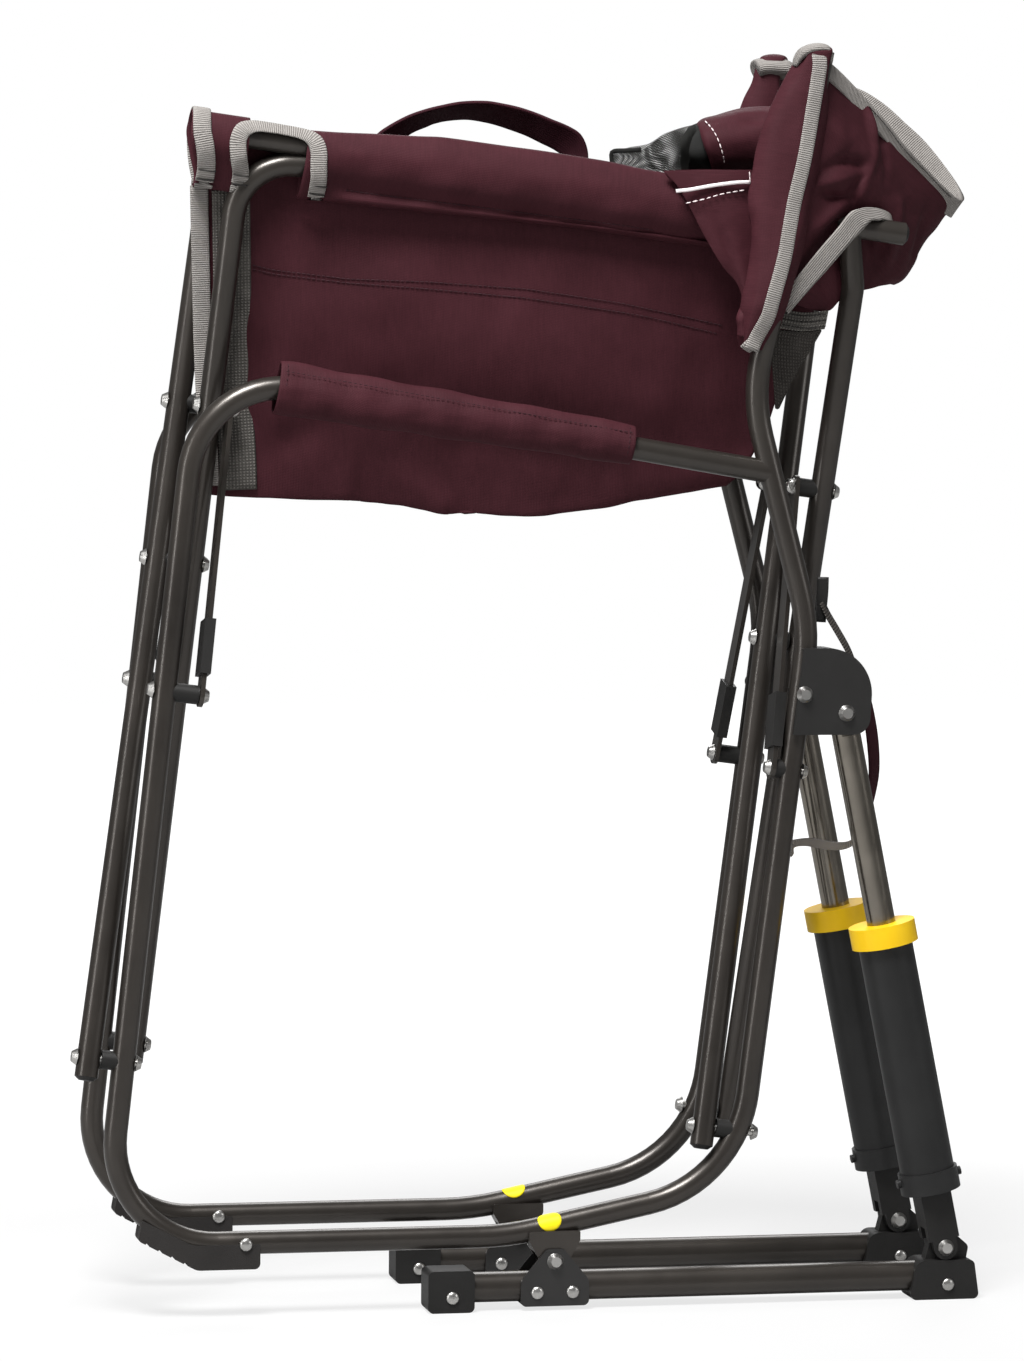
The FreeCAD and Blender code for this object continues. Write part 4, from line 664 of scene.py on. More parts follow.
def bound_edge(name, spots, sign, width, thickness, body):
    """A binding that lies on cloth round a rail: its face looks away from the rail's centre line."""
    line = even_line(spots, 0.0025)
    normals = []
    for spot in line:
        foot = at(spot.dot(ALONG) / MM, sign * RAIL_Y, min(RAIL_N, spot.dot(SQUARE) / MM))
        normals.append((spot - foot).normalized())
    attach(keep(name, band_mesh(name, line, normals, width, thickness), BINDING), body)


def bound_notch():
    """The bindings at the front of the near sleeve, which leave a notch for the leg, and their seams."""
    out = 1.3
    body = RAIL_BODY["near"]
    front = [at(s, -y, n) for s, y, n in (
        (-327, 49.5, 731), (-327.5, 56.5, 744), (-331, 61.8 + out, 757), (-334.5, 62 + out, 768),
        (-335.5, 59, 777.5 + out), (-335.5, 51, 782.6 + out), (-335.5, 43.5, 777.5 + out), (-335, 41 - out, 766),
        (-332, 40.6 - out, 750), (-327, 41.6, 734))]
    bound_edge("near_front_binding", front, -1, 0.0125, 0.0016, body)
    notch = [at(s, -y, n) for s, y, n in (
        (-303, 48.5, 731), (-303.5, 55, 743), (-307.5, 61 + out, 754), (-309.5, 62 + out, 764),
        (-308, 60.5 + out, 771), (-304.5, 59.8, 774.6), (-298, 58.6, 776.8), (-288, 57.8, 777.2),
        (-278, 57.6, 777), (-268, 57.9, 776.4), (-261, 59.4, 774.8), (-256.6, 61.6, 771.4), (-254, 62 + out, 765),
        (-253, 62 + out, 757), (-251, 58.4 + out, 746), (-250, 50, 734))]
    bound_edge("near_notch_binding", notch, -1, 0.0115, 0.0018, body)
    seams = []
    for low, s_from, s_to in ((736.5, -333, -321), (742.5, -333, -321), (736.5, -309, -298),
                              (742.5, -309, -298), (737.5, -255.5, -244.5), (743, -255.5, -244.5)):
        y = 54.4 if low < 738 else 58
        seams.append([at(s_from, -y, low), at((s_from + s_to) / 2, -y - 0.4, low - 0.3), at(s_to, -y, low)])
    mesh = joined("near_seat_seams", [band_mesh("seam", even_line(seam, 0.002), TOWARDS, 0.0011, 0.0009, 6)
                                      for seam in seams])
    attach(keep("near_seat_seams", mesh, BLACK_THREAD), body)


def bound_far_sleeve():
    out = 1.2
    spots = [at(-256, y, n) for y, n in (
        (50, 735), (57 + out, 746), (61.6 + out, 757), (62 + out, 766), (60 + out, 773), (56, 778.4 + out),
        (51, 780.6 + out), (46, 778.4 + out), (42.6 - out, 773), (41.4 - out, 765), (41.8 - out, 750), (43, 737))]
    bound_edge("far_sleeve_binding", spots, 1, 0.0115, 0.0016, RAIL_BODY["far"])


def joined(name, meshes):
    """One mesh from several, whose weave maps are kept."""
    work = bmesh.new()
    for mesh in meshes:
        work.from_mesh(mesh)
    mesh = bpy.data.meshes.new(name)
    work.to_mesh(mesh)
    work.free()
    for old in meshes:
        bpy.data.meshes.remove(old)
    return mesh


def on_seat(piece):
    """A piece of the seat, with its place baked into its mesh."""
    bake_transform(piece)


def cloth_band(name, spots, width, finish, side):
    """A strip sewn to the outer face of the seat cloth."""
    line = even_line(spots, 0.004)
    normals = []
    for i in range(len(line)):
        face = ALONG.cross(heading_at(line, i)).normalized()
        normals.append(-face if face.y * side < 0 else face)
    line = [spot + normal * 0.0009 for spot, normal in zip(line, normals)]
    on_seat(keep(name, band_mesh(name, line, normals, width, 0.0013), finish))


def front_edges():
    """Webbing along the front edge of each half of the hanging cloth, and a binding on its very edge."""
    for side, sign in SIDES:
        inner = []
        edge = []
        for n in (733, 715, 690, 660, 630, 600, 575, 550, 532):
            s = through(CLOTH_FRONT[sign], n)
            y = through(CLOTH_SIDE, n)
            inner.append(at(s + 25 + 2 * ease(530, 731, n), sign * (y + 0.9), n))
            edge.append(at(s + 5, sign * (y + 1.3), n))
        cloth_band(side + "_edge_webbing", inner, 0.026, EDGE_WEBBING, sign)
        cloth_band(side + "_edge_binding", edge, 0.0125, BINDING, sign)


# Threads: one stitch, repeated along a line by geometry nodes. Pitches and stitch sizes are metres.

FINE = 0.0034
ARM_PITCH = 0.0036
WHITE_PITCH = 0.0046
WHITE_STITCH = 0.0037
BLACK_STITCH = 0.0034
SEAM_STITCH = 0.0032
HEM_STITCH = 0.0031


def stitch_shape():
    """One stitch: a thread that rises from the cloth, lies on it and goes down again."""
    points = []
    rings = 7
    sides = 6
    for i in range(rings):
        t = i / (rings - 1)
        thin = max(0.25, math.sin(math.pi * min(max(t, 0.06), 0.94)) ** 0.4)
        points += [Vector((t - 0.5, c * 0.13 * thin, s * 0.11 * thin + 0.05 * thin))
                   for c, s in around(sides)]
    return recalculated(mesh_of("one_stitch", points, ring_faces(rings, sides) + end_caps(rings, sides)))


def repeat_tree(name, finish):
    """Geometry nodes that put a copy of one object at every point, turned and sized as the point says."""
    tree = bpy.data.node_groups.new(name, "GeometryNodeTree")
    for label, way, kind in (("Places", "INPUT", "Geometry"), ("Shape", "INPUT", "Object"),
                             ("Size", "INPUT", "Float"), ("Result", "OUTPUT", "Geometry")):
        tree.interface.new_socket(label, in_out=way, socket_type="NodeSocket" + kind)
    nodes = Nodes(tree)
    enter = nodes.add("NodeGroupInput").outputs
    heading, facing, span = (
        nodes.add("GeometryNodeInputNamedAttribute", {"data_type": kind}, Name=label).outputs[0]
        for label, kind in (("heading", "FLOAT_VECTOR"), ("facing", "FLOAT_VECTOR"), ("span", "FLOAT")))
    turn = nodes.add("FunctionNodeAlignRotationToVector", {"axis": "X"}, Vector=heading).outputs[0]
    turn = nodes.add("FunctionNodeAlignRotationToVector", {"axis": "Z", "pivot_axis": "X"}, Rotation=turn,
                     Vector=facing).outputs[0]
    shape = nodes.add("GeometryNodeObjectInfo", Object=enter["Shape"]).outputs["Geometry"]
    copies = nodes.add("GeometryNodeInstanceOnPoints", Points=enter["Places"], Instance=shape, Rotation=turn,
                       Scale=nodes.math("MULTIPLY", span, enter["Size"]))
    real = nodes.add("GeometryNodeRealizeInstances", Geometry=copies.outputs[0])
    coat = nodes.add("GeometryNodeSetMaterial", Geometry=real.outputs[0], Material=finish)
    nodes.add("NodeGroupOutput", Result=coat.outputs["Geometry"])
    return tree


def repeated(name, shape, spots, headings, facings, spans, finish, size=1.0):
    """Copies of one shape at the given places, each as large as its span, baked to a plain mesh."""
    places = bpy.data.meshes.new(name + "_places")
    places.from_pydata([tuple(p) for p in spots], [], [])
    for label, values in (("heading", headings), ("facing", facings)):
        layer = places.attributes.new(label, "FLOAT_VECTOR", "POINT")
        layer.data.foreach_set("vector", [c for value in values for c in value])
    places.attributes.new("span", "FLOAT", "POINT").data.foreach_set("value", spans)
    model = bpy.data.objects.new(name + "_shape", shape)
    holder = bpy.data.objects.new(name, places)
    for helper in (model, holder):
        bpy.context.scene.collection.objects.link(helper)
    maker = holder.modifiers.new("copies", "NODES")
    maker.node_group = repeat_tree(name + "_copies", finish)
    for item in maker.node_group.interface.items_tree:
        if item.name in ("Shape", "Size"):
            maker[item.identifier] = model if item.name == "Shape" else size
    bpy.context.view_layer.update()
    ready = holder.evaluated_get(bpy.context.evaluated_depsgraph_get())
    baked = bpy.data.meshes.new_from_object(ready)
    holder.modifiers.clear()
    for helper in (holder, model):
        bpy.data.objects.remove(helper)
    baked.name = name
    return keep(name, baked, finish)


def stitch_line(spots, facing, pitch=FINE):
    """Places, headings and facings of the stitches along a line on cloth that faces one way."""
    line = even_line(spots, pitch)
    return [((a + b) / 2, (b - a).normalized(), facing.normalized()) for a, b in zip(line, line[1:])]


def stitches(name, lines, finish, size):
    """Stitches as one piece."""
    spots, headings, facings = zip(*[stitch for line in lines for stitch in line])
    spans = [0.9 + 0.2 * noise.noise(spot * 900) for spot in spots]
    return repeated(name, stitch_shape(), spots, headings, facings, spans, finish, size)


seat_cloth()
for side, sign in SIDES:
    seat_sleeve(side, sign)
seat_strip("near", -1)
bound_notch()
bound_far_sleeve()
front_edges()


# Arm sleeves.


ARM_WALL = 0.0012
ARM_STITCH = 0.0027


def arm_sleeve(side, sign):
    """A padded tube of cloth round the arm, sewn along its top and at both ends."""
    node = side + "_arm_sleeve"
    front = seen(277, 386, -60)
    rear = seen(632, 445, -60)
    heading = (rear - front).normalized()
    square = Vector((-heading.z, 0, heading.x))

    def half_height(share):
        return 17.4 - 4.2 * share

    rows = []
    count = 34
    for k in range(count):
        share = k / (count - 1)
        tall = (half_height(share) + 0.5 * math.sin(k * 0.9)) * MM
        thick = (10.6 + 0.5 * math.sin(k * 1.7 + 1)) * MM
        if k in (0, count - 1):
            tall *= 0.985
            thick *= 0.94
        ring = []
        for up, out in around(20):
            # Fuller below, where the cloth hangs from the tube.
            rise = up * tall * (1.0 if up > 0 else 1.04)
            wide = out * thick * (1 - 0.16 * max(0.0, up))
            ring.append(front.lerp(rear, share) + square * rise + Vector((0, wide, 0)))
        rows.append(mirrored(ring, sign))

    def soften(mesh):
        crumple(mesh, 0.0011, 0.03, 11 + sign, (0.45, 1, 1))
        crumple(mesh, 0.0006, 0.012, 4 + sign, (0.3, 1, 1))

    cloth = sewn(node + "_cloth", rows, 80, 170, ARM_WALL, soften, closed=True)
    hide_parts(node)
    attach(cloth, side + "_frame")

    def seam(spots):
        """Spots are shares of the length, and how far up and out, in millimetres."""
        line = [front.lerp(rear, share) + square * (up * MM) - Vector((0, out * MM, 0))
                for share, up, out in spots]
        return stitch_line(mirrored(line, sign), Vector((0, sign, 0)), ARM_PITCH)

    along = seam([(share, half_height(share) * 0.62, 9.3) for share in (0.01, 0.25, 0.5, 0.75, 0.99)])
    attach(stitches(side + "_arm_seam", [along], MAROON_THREAD, ARM_STITCH), side + "_frame")
    turns = [math.radians(turn) for turn in (20, 50, 90, 130, 160)]
    hems = [seam([(share, math.cos(turn) * half_height(share), math.sin(turn) * 11.2) for turn in turns])
            for share in (0.018, 0.982)]
    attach(stitches(side + "_arm_hems", hems, MAROON_THREAD, ARM_STITCH), side + "_frame")


# Gathered back. Its shapes are laid out where the photograph shows them: a pixel across, a pixel down,
# and a depth across the chair in millimetres.


def laid(*spots):
    return [seen(x, y, depth) for x, y, depth in spots]


def mirrored(points, sign):
    return [Vector((p.x, -sign * p.y, p.z)) for p in points]


def upright_depth(z):
    """The near upright steps outward as it rises."""
    return -60 - 12 * ease(0.652, 0.702, z)


# Where the near wing's cloth is folded: from a place to a place, half width and depth in metres.
NEAR_WING_FOLDS = (
    ((748, 250, -68), (760, 190, -70), 0.004, -0.003), ((752, 262, -68), (764, 300, -68), 0.0035, -0.003),
    ((772, 210, -72), (770, 270, -70), 0.004, 0.0025),
)
# The rows of each wing, from the hem up: a pixel down, its left edge across, and the upright's middle across.
WING = {
    "near": ((350, 741, 756), (343, 739, 758.5), (335, 738, 761), (318, 741, 766.5), (300, 743.5, 772),
             (260, 750, 783), (230, 748, 788.5), (200, 747, 794), (157, 754, 804), (110, 768, 812), (80, 784, 817),
             (64, 793, 819), (56, 801, 821), (51, 808, 822)),
    "far": ((330, 700, 715), (300, 702, 722), (260, 708, 733), (200, 712, 747), (157, 722, 757), (120, 735, 764),
            (100, 742, 769), (84, 750, 772), (72, 754, 774), (64, 757, 776), (60, 759, 777)),
}


def wing(side, sign):
    """The pocket of cloth that slips over the top of an upright, closed at the top."""
    rows = []
    for down, left, middle in WING[side]:
        depth = upright_depth(seen(middle, down, 66 * sign).z)
        span = min(middle - left, 60)
        narrow = ease(100, 60, down) if sign < 0 else ease(110, 80, down)
        ring = ((left, 3), (left + 0.3 * span, -6.5), (middle - 13, -10), (middle, -11.4), (middle + 10, -9.6),
                (middle + 15.5 - 9 * narrow, -1), (middle + 12 - 5 * narrow, 8.6), (middle, 10.6),
                (middle - 13 + 3 * narrow, 10), (left + 0.25 * span, 8))
        rows.append(laid(*[(x, down, -sign * (depth + out)) for x, out in ring]))
    tops = rows[-1]
    centre = sum(tops, Vector()) / len(tops)
    for rise, shrink in ((0.0022, 0.82), (0.0034, 0.45), (0.0038, 0.08)):
        rows.append([centre + (p - centre) * shrink + Vector((rise * 0.2, 0, rise)) for p in tops])

    def below_top(p):
        return ease(0.875, 0.85, p.z)

    def folds(mesh):
        crumple(mesh, 0.0024, 0.045, 21 + sign, (1, 1, 0.4), lambda p: ease(0.66, 0.7, p.z) * below_top(p))
        mesh.update()
        crumple(mesh, 0.0011, 0.018, 14 + sign, (1, 1, 0.5), lambda p: ease(0.655, 0.69, p.z) * below_top(p))
        mesh.update()
        if sign < 0:
            dents(mesh, *NEAR_WING_FOLDS)

    cloth = sewn(side + "_wing", rows, 88, 230, 0.001, folds, closed=True)
    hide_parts(side + "_back_sleeve")
    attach(cloth, side + "_frame")


def near_wing_trim():
    """The binding down the near wing's outer face, round its top, and the loose end below."""
    line = laid((751.5, 350, -75.5), (756.5, 338, -75.5))
    for down, left, middle in WING["near"][3:-2]:
        depth = upright_depth(seen(middle, down, -66).z)
        line += laid((middle + 1, down, depth - 12.4 - 1.2 * ease(290, 335, down)))
    line += laid((819, 54, -82.5), (820, 48.5, -80))
    normals = [Vector((0.1, -1, 0))] * (len(line) - 1) + [Vector((0, -0.9, 0.4))]
    down_face = band("near_wing_binding", line, normals, 0.0106, 0.0017, BINDING, 0.003)
    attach(down_face, "near_frame")
    path = laid((795, 66, -73), (797.5, 59.5, -74), (802, 53.5, -75), (809, 50, -75.5), (818, 48.6, -75.5),
                (825, 50, -75), (828.5, 56, -74), (829.5, 64, -73))
    crown = folded_binding("near_crown_binding", path,
                           (0.0016, 0.0028, 0.0036, 0.0038, 0.0038, 0.0036, 0.003, 0.0016),
                           (0.004, 0.0062, 0.0078, 0.0086, 0.0088, 0.0086, 0.0075, 0.005))
    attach(crown, "near_frame")
    tail = laid((757, 334, -72), (754, 341, -73), (749, 346, -73), (745.5, 349, -71))
    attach(band("near_wing_tail", tail, Vector((0.3, -1, 0)), 0.009, 0.003, BINDING, 0.002),
            "near_frame")


def far_wing_trim():
    path = laid((755, 70, 71), (758, 69, 71.5), (766, 68, 72), (776, 68.5, 72), (785, 70, 72), (792, 72, 72))
    crown = folded_binding("far_crown_binding", path, (0.0062, 0.0072, 0.0074, 0.0074, 0.007, 0.005),
                           (0.012, 0.0138, 0.0142, 0.0142, 0.0138, 0.011))
    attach(crown, "far_frame")


def folded_binding(name, path, rises, reaches):
    """Binding folded over an edge: a flattened roll round a path, thin at its ends."""
    rows = []
    for i, (spot, rise, reach) in enumerate(zip(path, rises, reaches)):
        run = heading_at(path, i)
        up = Vector((-run.z, 0, run.x)).normalized()
        rows.append([spot + up * (c * rise) + Vector((0, s * reach, 0)) for c, s in around(14)])
    first = [p.lerp(path[0], 0.9) for p in rows[0]]
    last = [p.lerp(path[-1], 0.9) for p in rows[-1]]
    return sewn(name, [first] + rows + [last], 42, 60, 0, None, BINDING, closed=True)


# The back cloth from its bound edge down, row by row, from the near upright round behind to the far one.
BACK_ROWS = (
    ((822, 60, -72), (836, 72, -66), (850, 86, -58), (866, 103, -50), (884, 123, -42), (903, 147, -31),
     (923, 168, -18), (942, 187, -6), (957, 200, 6), (961, 195, 16), (950, 175, 28), (927, 146, 42),
     (906, 126, 50), (881, 104, 58), (853, 89, 64), (822, 88, 69), (795, 92, 72)),
    ((817, 100, -73), (836, 108, -69), (857, 126, -62), (873, 150, -54), (890, 178, -44), (908, 200, -30),
     (925, 215, -14), (940, 220, 4), (940, 212, 22), (925, 188, 36), (905, 164, 46), (880, 142, 54),
     (852, 124, 61), (798, 118, 71)),
    ((811, 140, -73.5), (832, 148, -70), (853, 164, -64), (868, 184, -57), (886, 206, -47), (902, 224, -33),
     (918, 238, -14), (926, 238, 6), (918, 225, 26), (898, 200, 40), (870, 175, 52), (840, 155, 61),
     (780, 135, 70)),
    ((802, 190, -73), (822, 196, -70), (840, 206, -62), (856, 220, -50), (874, 234, -40), (896, 248, -31),
     (912, 258, -14), (914, 256, 8), (904, 244, 28), (880, 222, 44), (850, 200, 56), (800, 180, 66),
     (768, 168, 68)),
    ((792, 245, -70), (812, 250, -64), (830, 256, -53), (846, 262, -41), (864, 267, -37), (884, 271, -29),
     (902, 275, -14), (902, 272, 8), (890, 262, 28), (862, 245, 45), (832, 232, 56), (790, 215, 64),
     (762, 205, 67)),
    ((779, 292, -62), (800, 306, -58), (827, 311, -51), (841, 298, -41), (858, 292, -37), (884, 285, -24),
     (893, 281, -4), (886, 280, 12), (870, 272, 34), (842, 262, 50), (800, 255, 60), (762, 248, 66)),
)
BACK_FOLDS = (
    ((816, 172, -70), (842, 160, -66), 0.0042, -0.0062), ((842, 160, -66), (866, 166, -58), 0.004, -0.005),
    ((818, 184, -70), (848, 176, -62), 0.0038, 0.005), ((824, 196, -68), (852, 198, -58), 0.0036, -0.005),
    ((846, 192, -60), (872, 168, -54), 0.0036, -0.0045), ((868, 108, -52), (873, 150, -54), 0.0042, 0.005),
    ((873, 150, -54), (858, 200, -56), 0.004, 0.005), ((880, 118, -44), (884, 160, -46), 0.004, -0.004),
    ((884, 160, -46), (870, 212, -46), 0.0045, -0.005), ((812, 232, -68), (846, 200, -60), 0.005, 0.004),
    ((898, 205, -38), (888, 268, -30), 0.005, 0.004), ((880, 212, -44), (878, 262, -34), 0.005, -0.004),
    ((926, 215, -14), (905, 268, -12), 0.007, -0.004), ((826, 120, -70), (846, 150, -66), 0.009, 0.003),
    ((816, 255, -62), (832, 300, -52), 0.006, -0.004),
)
# The lower edge of the back's binding; its upper edge is the first row above.
LOWER_EDGE = ((822, 74, -74.5), (834, 85.5, -69), (846, 99, -61.5), (861, 116, -53.5), (876, 131, -45.5),
              (893, 153, -35), (908, 173, -23), (925, 197, -9), (943, 213, 4), (949, 214, 16), (940, 192, 28),
              (918, 163, 41), (897, 143, 49), (873, 121, 57), (846, 104, 63), (820, 102, 68), (796, 106, 71))


def gathered(piece):
    """A bunched piece of the back, hung on the folding back with a mesh of its own."""
    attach(piece, "folding_back")
    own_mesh(piece)


def span_back(piece):
    """Cloth that reaches from the near upright to the far one."""
    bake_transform(piece)


def back_cloth():
    edge = laid(*BACK_ROWS[0])
    edge_line = even_line(edge, 0.003)
    tree = kdtree.KDTree(len(edge_line))
    for i, spot in enumerate(edge_line):
        tree.insert(spot, i)
    tree.balance()

    def below_edge(spot):
        return ease(0.013, 0.034, tree.find(spot)[2])

    def folds(mesh):
        turn_out(mesh, TOWARDS, lambda p: p.y < -0.05)
        crumple(mesh, 0.0034, 0.055, 31, (1, 1, 0.6), below_edge)
        mesh.update()
        crumple(mesh, 0.0016, 0.02, 17, (1, 0.6, 0.8), below_edge)
        mesh.update()
        dents(mesh, *BACK_FOLDS)

    cloth = sewn("back_cloth", [laid(*row) for row in BACK_ROWS], 230, 150, 0.001, folds)
    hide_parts("back_panel")
    span_back(cloth)
    upper = [p + Vector((0.0004, 0, 0.0008)) for p in edge]
    span_back(sewn("back_binding", [upper, laid(*LOWER_EDGE)], 220, 12, 0.0046, None, BINDING))
    # Black stitches along part of the near half's upper edge are painted shade: a dark line that stands in for the
    # shadow under that edge, where the far half shows behind it.
    seam = stitch_line(laid((869, 106.5, -53), (887, 127, -45), (905, 150.5, -34), (925, 171, -21),
                            (943, 190, -9), (955, 201, 3)), Vector((0.2, -1, 0.3)), 0.003)
    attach(stitches("back_binding_seam", [seam], BLACK_THREAD, BLACK_STITCH), "near_frame")


def turn_out(mesh, direction, where=lambda p: True):
    """Turns every face over if those in one place look away from a direction."""
    if sum(f.normal.dot(direction) * f.area for f in mesh.polygons if where(f.center)) < 0:
        mesh.flip_normals()


def dents(mesh, *folds):
    """Soft folds along the cloth's own normals between two points; a groove where depth is negative."""
    for start, end, width, depth in folds:
        a = seen(*start)
        run = seen(*end) - a
        moves = []
        for vertex in mesh.vertices:
            share = max(0.0, min(1.0, (vertex.co - a).dot(run) / run.length_squared))
            apart = (vertex.co - (a + run * share)).length
            if apart < 3 * width:
                fall = math.exp(-((apart / width) ** 2)) * math.sin(math.pi * (0.12 + 0.76 * share))
                moves.append((vertex, vertex.normal * (depth * fall)))
        for vertex, move in moves:
            vertex.co += move
        mesh.update()


def pleats():
    """The folded cloth in front of the near wing, with its piping and white stitches."""
    rows = (
        laid((664, 172, -63), (690, 171, -66), (720, 170, -67), (752, 170, -66)),
        laid((680, 190, -65), (700, 188, -68), (724, 187, -69), (754, 186, -66)),
        laid((702, 230, -65.5), (714, 228, -69), (732, 228, -70), (754, 226, -66)),
        laid((722, 264, -66), (730, 262, -69.5), (740, 262, -70), (754, 260, -66)),
        laid((741, 295, -66), (744, 296, -69.5), (748, 297, -70), (756, 298, -66)),
        laid((738, 336, -66), (743, 337, -69), (748, 337, -70), (754, 337, -67)),
    )

    def folds(mesh):
        turn_out(mesh, TOWARDS)
        dents(mesh, ((700, 222, -68), (742, 318, -69), 0.0035, 0.0035),
              ((716, 215, -68), (745, 300, -69), 0.004, -0.003), ((735, 300, -68), (742, 333, -69), 0.0035, 0.003))
        crumple(mesh, 0.0008, 0.02, 9)

    cloth = sewn("back_pleat", rows, 50, 110, 0.0012, folds)
    lip = (
        laid((664, 171, -63), (690, 170, -52), (712, 170, -40), (750, 171, -30)),
        laid((671, 181, -64), (692, 180, -54), (715, 180, -44), (752, 181, -34)),
    )
    piping = even_line(laid((676, 191, -69.5), (690, 189.6, -71.2), (712, 185.6, -72), (735, 182.6, -72),
                            (750, 182, -70)), 0.002)
    rows = (
        stitch_line(laid((685, 203.5, -70.5), (703, 199.5, -71.6), (722, 194, -72), (745, 190, -70.5)),
                    Vector((0, -1, 0.1)), WHITE_PITCH),
        stitch_line(laid((749.5, 172, -69), (750, 181, -69)), Vector((0, -1, 0.1)), 0.004),
    )
    for piece in (
        cloth,
        sewn("back_pleat_lip", lip, 40, 10, 0.0012),
        keep("back_piping", band_mesh("back_piping", piping, TOWARDS, 0.0025, 0.0024, 12), PIPING),
        stitches("back_pleat_stitches", rows, WHITE_THREAD, WHITE_STITCH),
    ):
        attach(piece, "near_frame")


def oval(sides, depth, x, top, bottom, half, lean=0):
    """A ring from one pixel down to another, as deep as half on either side of a depth; lean moves its bottom."""
    middle = (top + bottom) / 2
    tall = (bottom - top) / 2
    return laid(*[(x + lean * (1 - c), middle - tall * c, depth - half * s) for c, s in around(sides)])


def roll():
    """The rolled part of the back that shows between the two uprights."""
    rows = [oval(14, -2, *spot) for spot in (
        (697, 123, 172, 21, 9), (700, 120.5, 172, 23, 8), (706, 118, 172, 24, 6), (722, 113.5, 172, 25, 3),
        (740, 109.5, 172, 25), (760, 107, 173, 25), (785, 108, 178, 25))]

    def folds(mesh):
        crumple(mesh, 0.0016, 0.03, 41, (0.5, 1, 1))
        mesh.update()
        crumple(mesh, 0.0007, 0.012, 43, (0.5, 1, 1))
        mesh.update()
        dents(mesh, ((735, 122, -20), (780, 112, -24), 0.005, -0.003))

    cloth = sewn("back_roll", rows, 84, 90, 0.0012, folds, closed=True)
    gathered(cloth)
    seam = stitch_line(laid((704.5, 120.5, -15), (713, 130, -24), (719, 142, -28.6), (723, 155, -28),
                            (725, 168, -18)), Vector((0, -1, 0.2)), WHITE_PITCH)
    gathered(stitches("back_roll_stitches", [seam], WHITE_THREAD, WHITE_STITCH))


def pocket():
    """The black net pocket that hangs from the roll: two layers of net and a darker bundle behind them."""
    front = (
        laid((612, 152, 0), (626, 151, -8), (641, 150, -14), (661, 137, -17), (679, 129, -17), (697, 124, -14)),
        laid((612, 158, -2), (628, 158, -12), (646, 158, -18), (664, 152, -21), (680, 148, -21), (692, 146, -16)),
        laid((613, 165, -3), (630, 166, -13), (646, 170, -18), (662, 171, -20), (674, 172, -20), (688, 171, -15)),
    )
    rear = (
        laid((612, 152, 2), (630, 147, 10), (648, 144, 14), (664, 134, 16), (680, 128, 15), (697, 124, 12)),
        laid((612, 158, 3), (634, 156, 12), (652, 152, 16), (668, 146, 18), (682, 142, 16), (692, 142, 13)),
        laid((613, 165, 3), (630, 166, 12), (646, 170, 16), (662, 172, 17), (676, 173, 16), (688, 172, 12)),
    )
    nets = [sewn(name, rows, 70, 36, 0, lambda mesh: crumple(mesh, 0.0011, 0.018, 51), NET)
            for name, rows in (("pocket_front", front), ("pocket_rear", rear))]
    bundle = [oval(12, 0, *spot) for spot in (
        (680, 152, 172, 5), (683, 138, 172, 12), (690, 128, 172, 16), (700, 124.5, 172, 19), (709, 128, 171, 18),
        (713, 140, 170, 12))]
    dark = sewn("pocket_bundle", bundle, 60, 40, 0.0008, lambda mesh: crumple(mesh, 0.0018, 0.016, 61), BUNDLE,
                closed=True)
    line = even_line(laid((613, 166, -3), (611.5, 158, -3), (613, 151.5, -4), (627, 150.5, -9),
                          (641, 149.6, -14.6)), 0.002)
    hem = keep("pocket_hem", band_mesh("pocket_hem", line, TOWARDS, 0.0032, 0.0012, 8), BUNDLE)
    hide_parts("mesh_pocket")
    for piece in (*nets, dark, hem):
        gathered(piece)


# The grey bands behind each upright: one loops over the rail's end, two hold the seat's rear edge. Each has its
# points across and down, finish, thickness and rows.
REAR_STRAPS = (
    ("rail_strap", 8, 90, BINDING, 0.0018, (
        ((779, 298, -71), (788, 314, -69)), ((797, 277, -72), (806, 293, -70)),
        ((820, 249, -72), (831, 265, -69)), ((838, 228, -71), (849, 244, -68)),
        ((850, 213, -69), (862, 230, -65)), ((860, 208.5, -65), (871, 221, -63)),
        ((871, 208, -58), (878, 220, -60)), ((881, 210, -51), (885, 220, -55)),
        ((889, 214, -45), (890, 223, -50)), ((892, 221, -40), (893, 229, -45)))),
    ("rear_web", 30, 70, REAR_WEBBING, 0.0016, (
        ((781, 330, -56), (803, 331.5, -56), (820, 330, -54)),
        ((773, 333, -55), (796, 335, -55), (820, 333, -53)),
        ((772, 360, -50), (788, 362, -50), (804, 360, -48)),
        ((774, 388, -44), (782, 388, -44), (789, 387, -43)),
        ((775, 408, -40), (777, 409, -40), (779, 408, -40)))),
    ("rear_band", 40, 14, EDGE_WEBBING, 0.0022, (
        ((781, 309, -57), (804, 312.5, -57), (828, 310.5, -54.5)),
        ((779, 320, -57.5), (803, 323, -57.5), (826, 321, -55.5)),
        ((776, 328, -57), (802, 331, -57), (824, 329, -55)))),
)


def rail_straps():
    for side, sign in SIDES:
        body = RAIL_BODY[side]
        for name, across, down, finish, wall, spots in REAR_STRAPS:
            rows = [mirrored(laid(*row), sign) for row in spots]
            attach(sewn(side + "_" + name, rows, across, down, wall, None, finish), body)
        seams = []
        for down in (3, 9, 15):
            row = laid((782, 309.5 + down, -58.8), (804, 313 + down, -58.8), (826, 311 + down, -56.8))
            seams.append(stitch_line(mirrored(row, sign), Vector((0, sign, 0))))
        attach(stitches(side + "_rear_band_seams", seams, BLACK_THREAD, BLACK_STITCH), body)


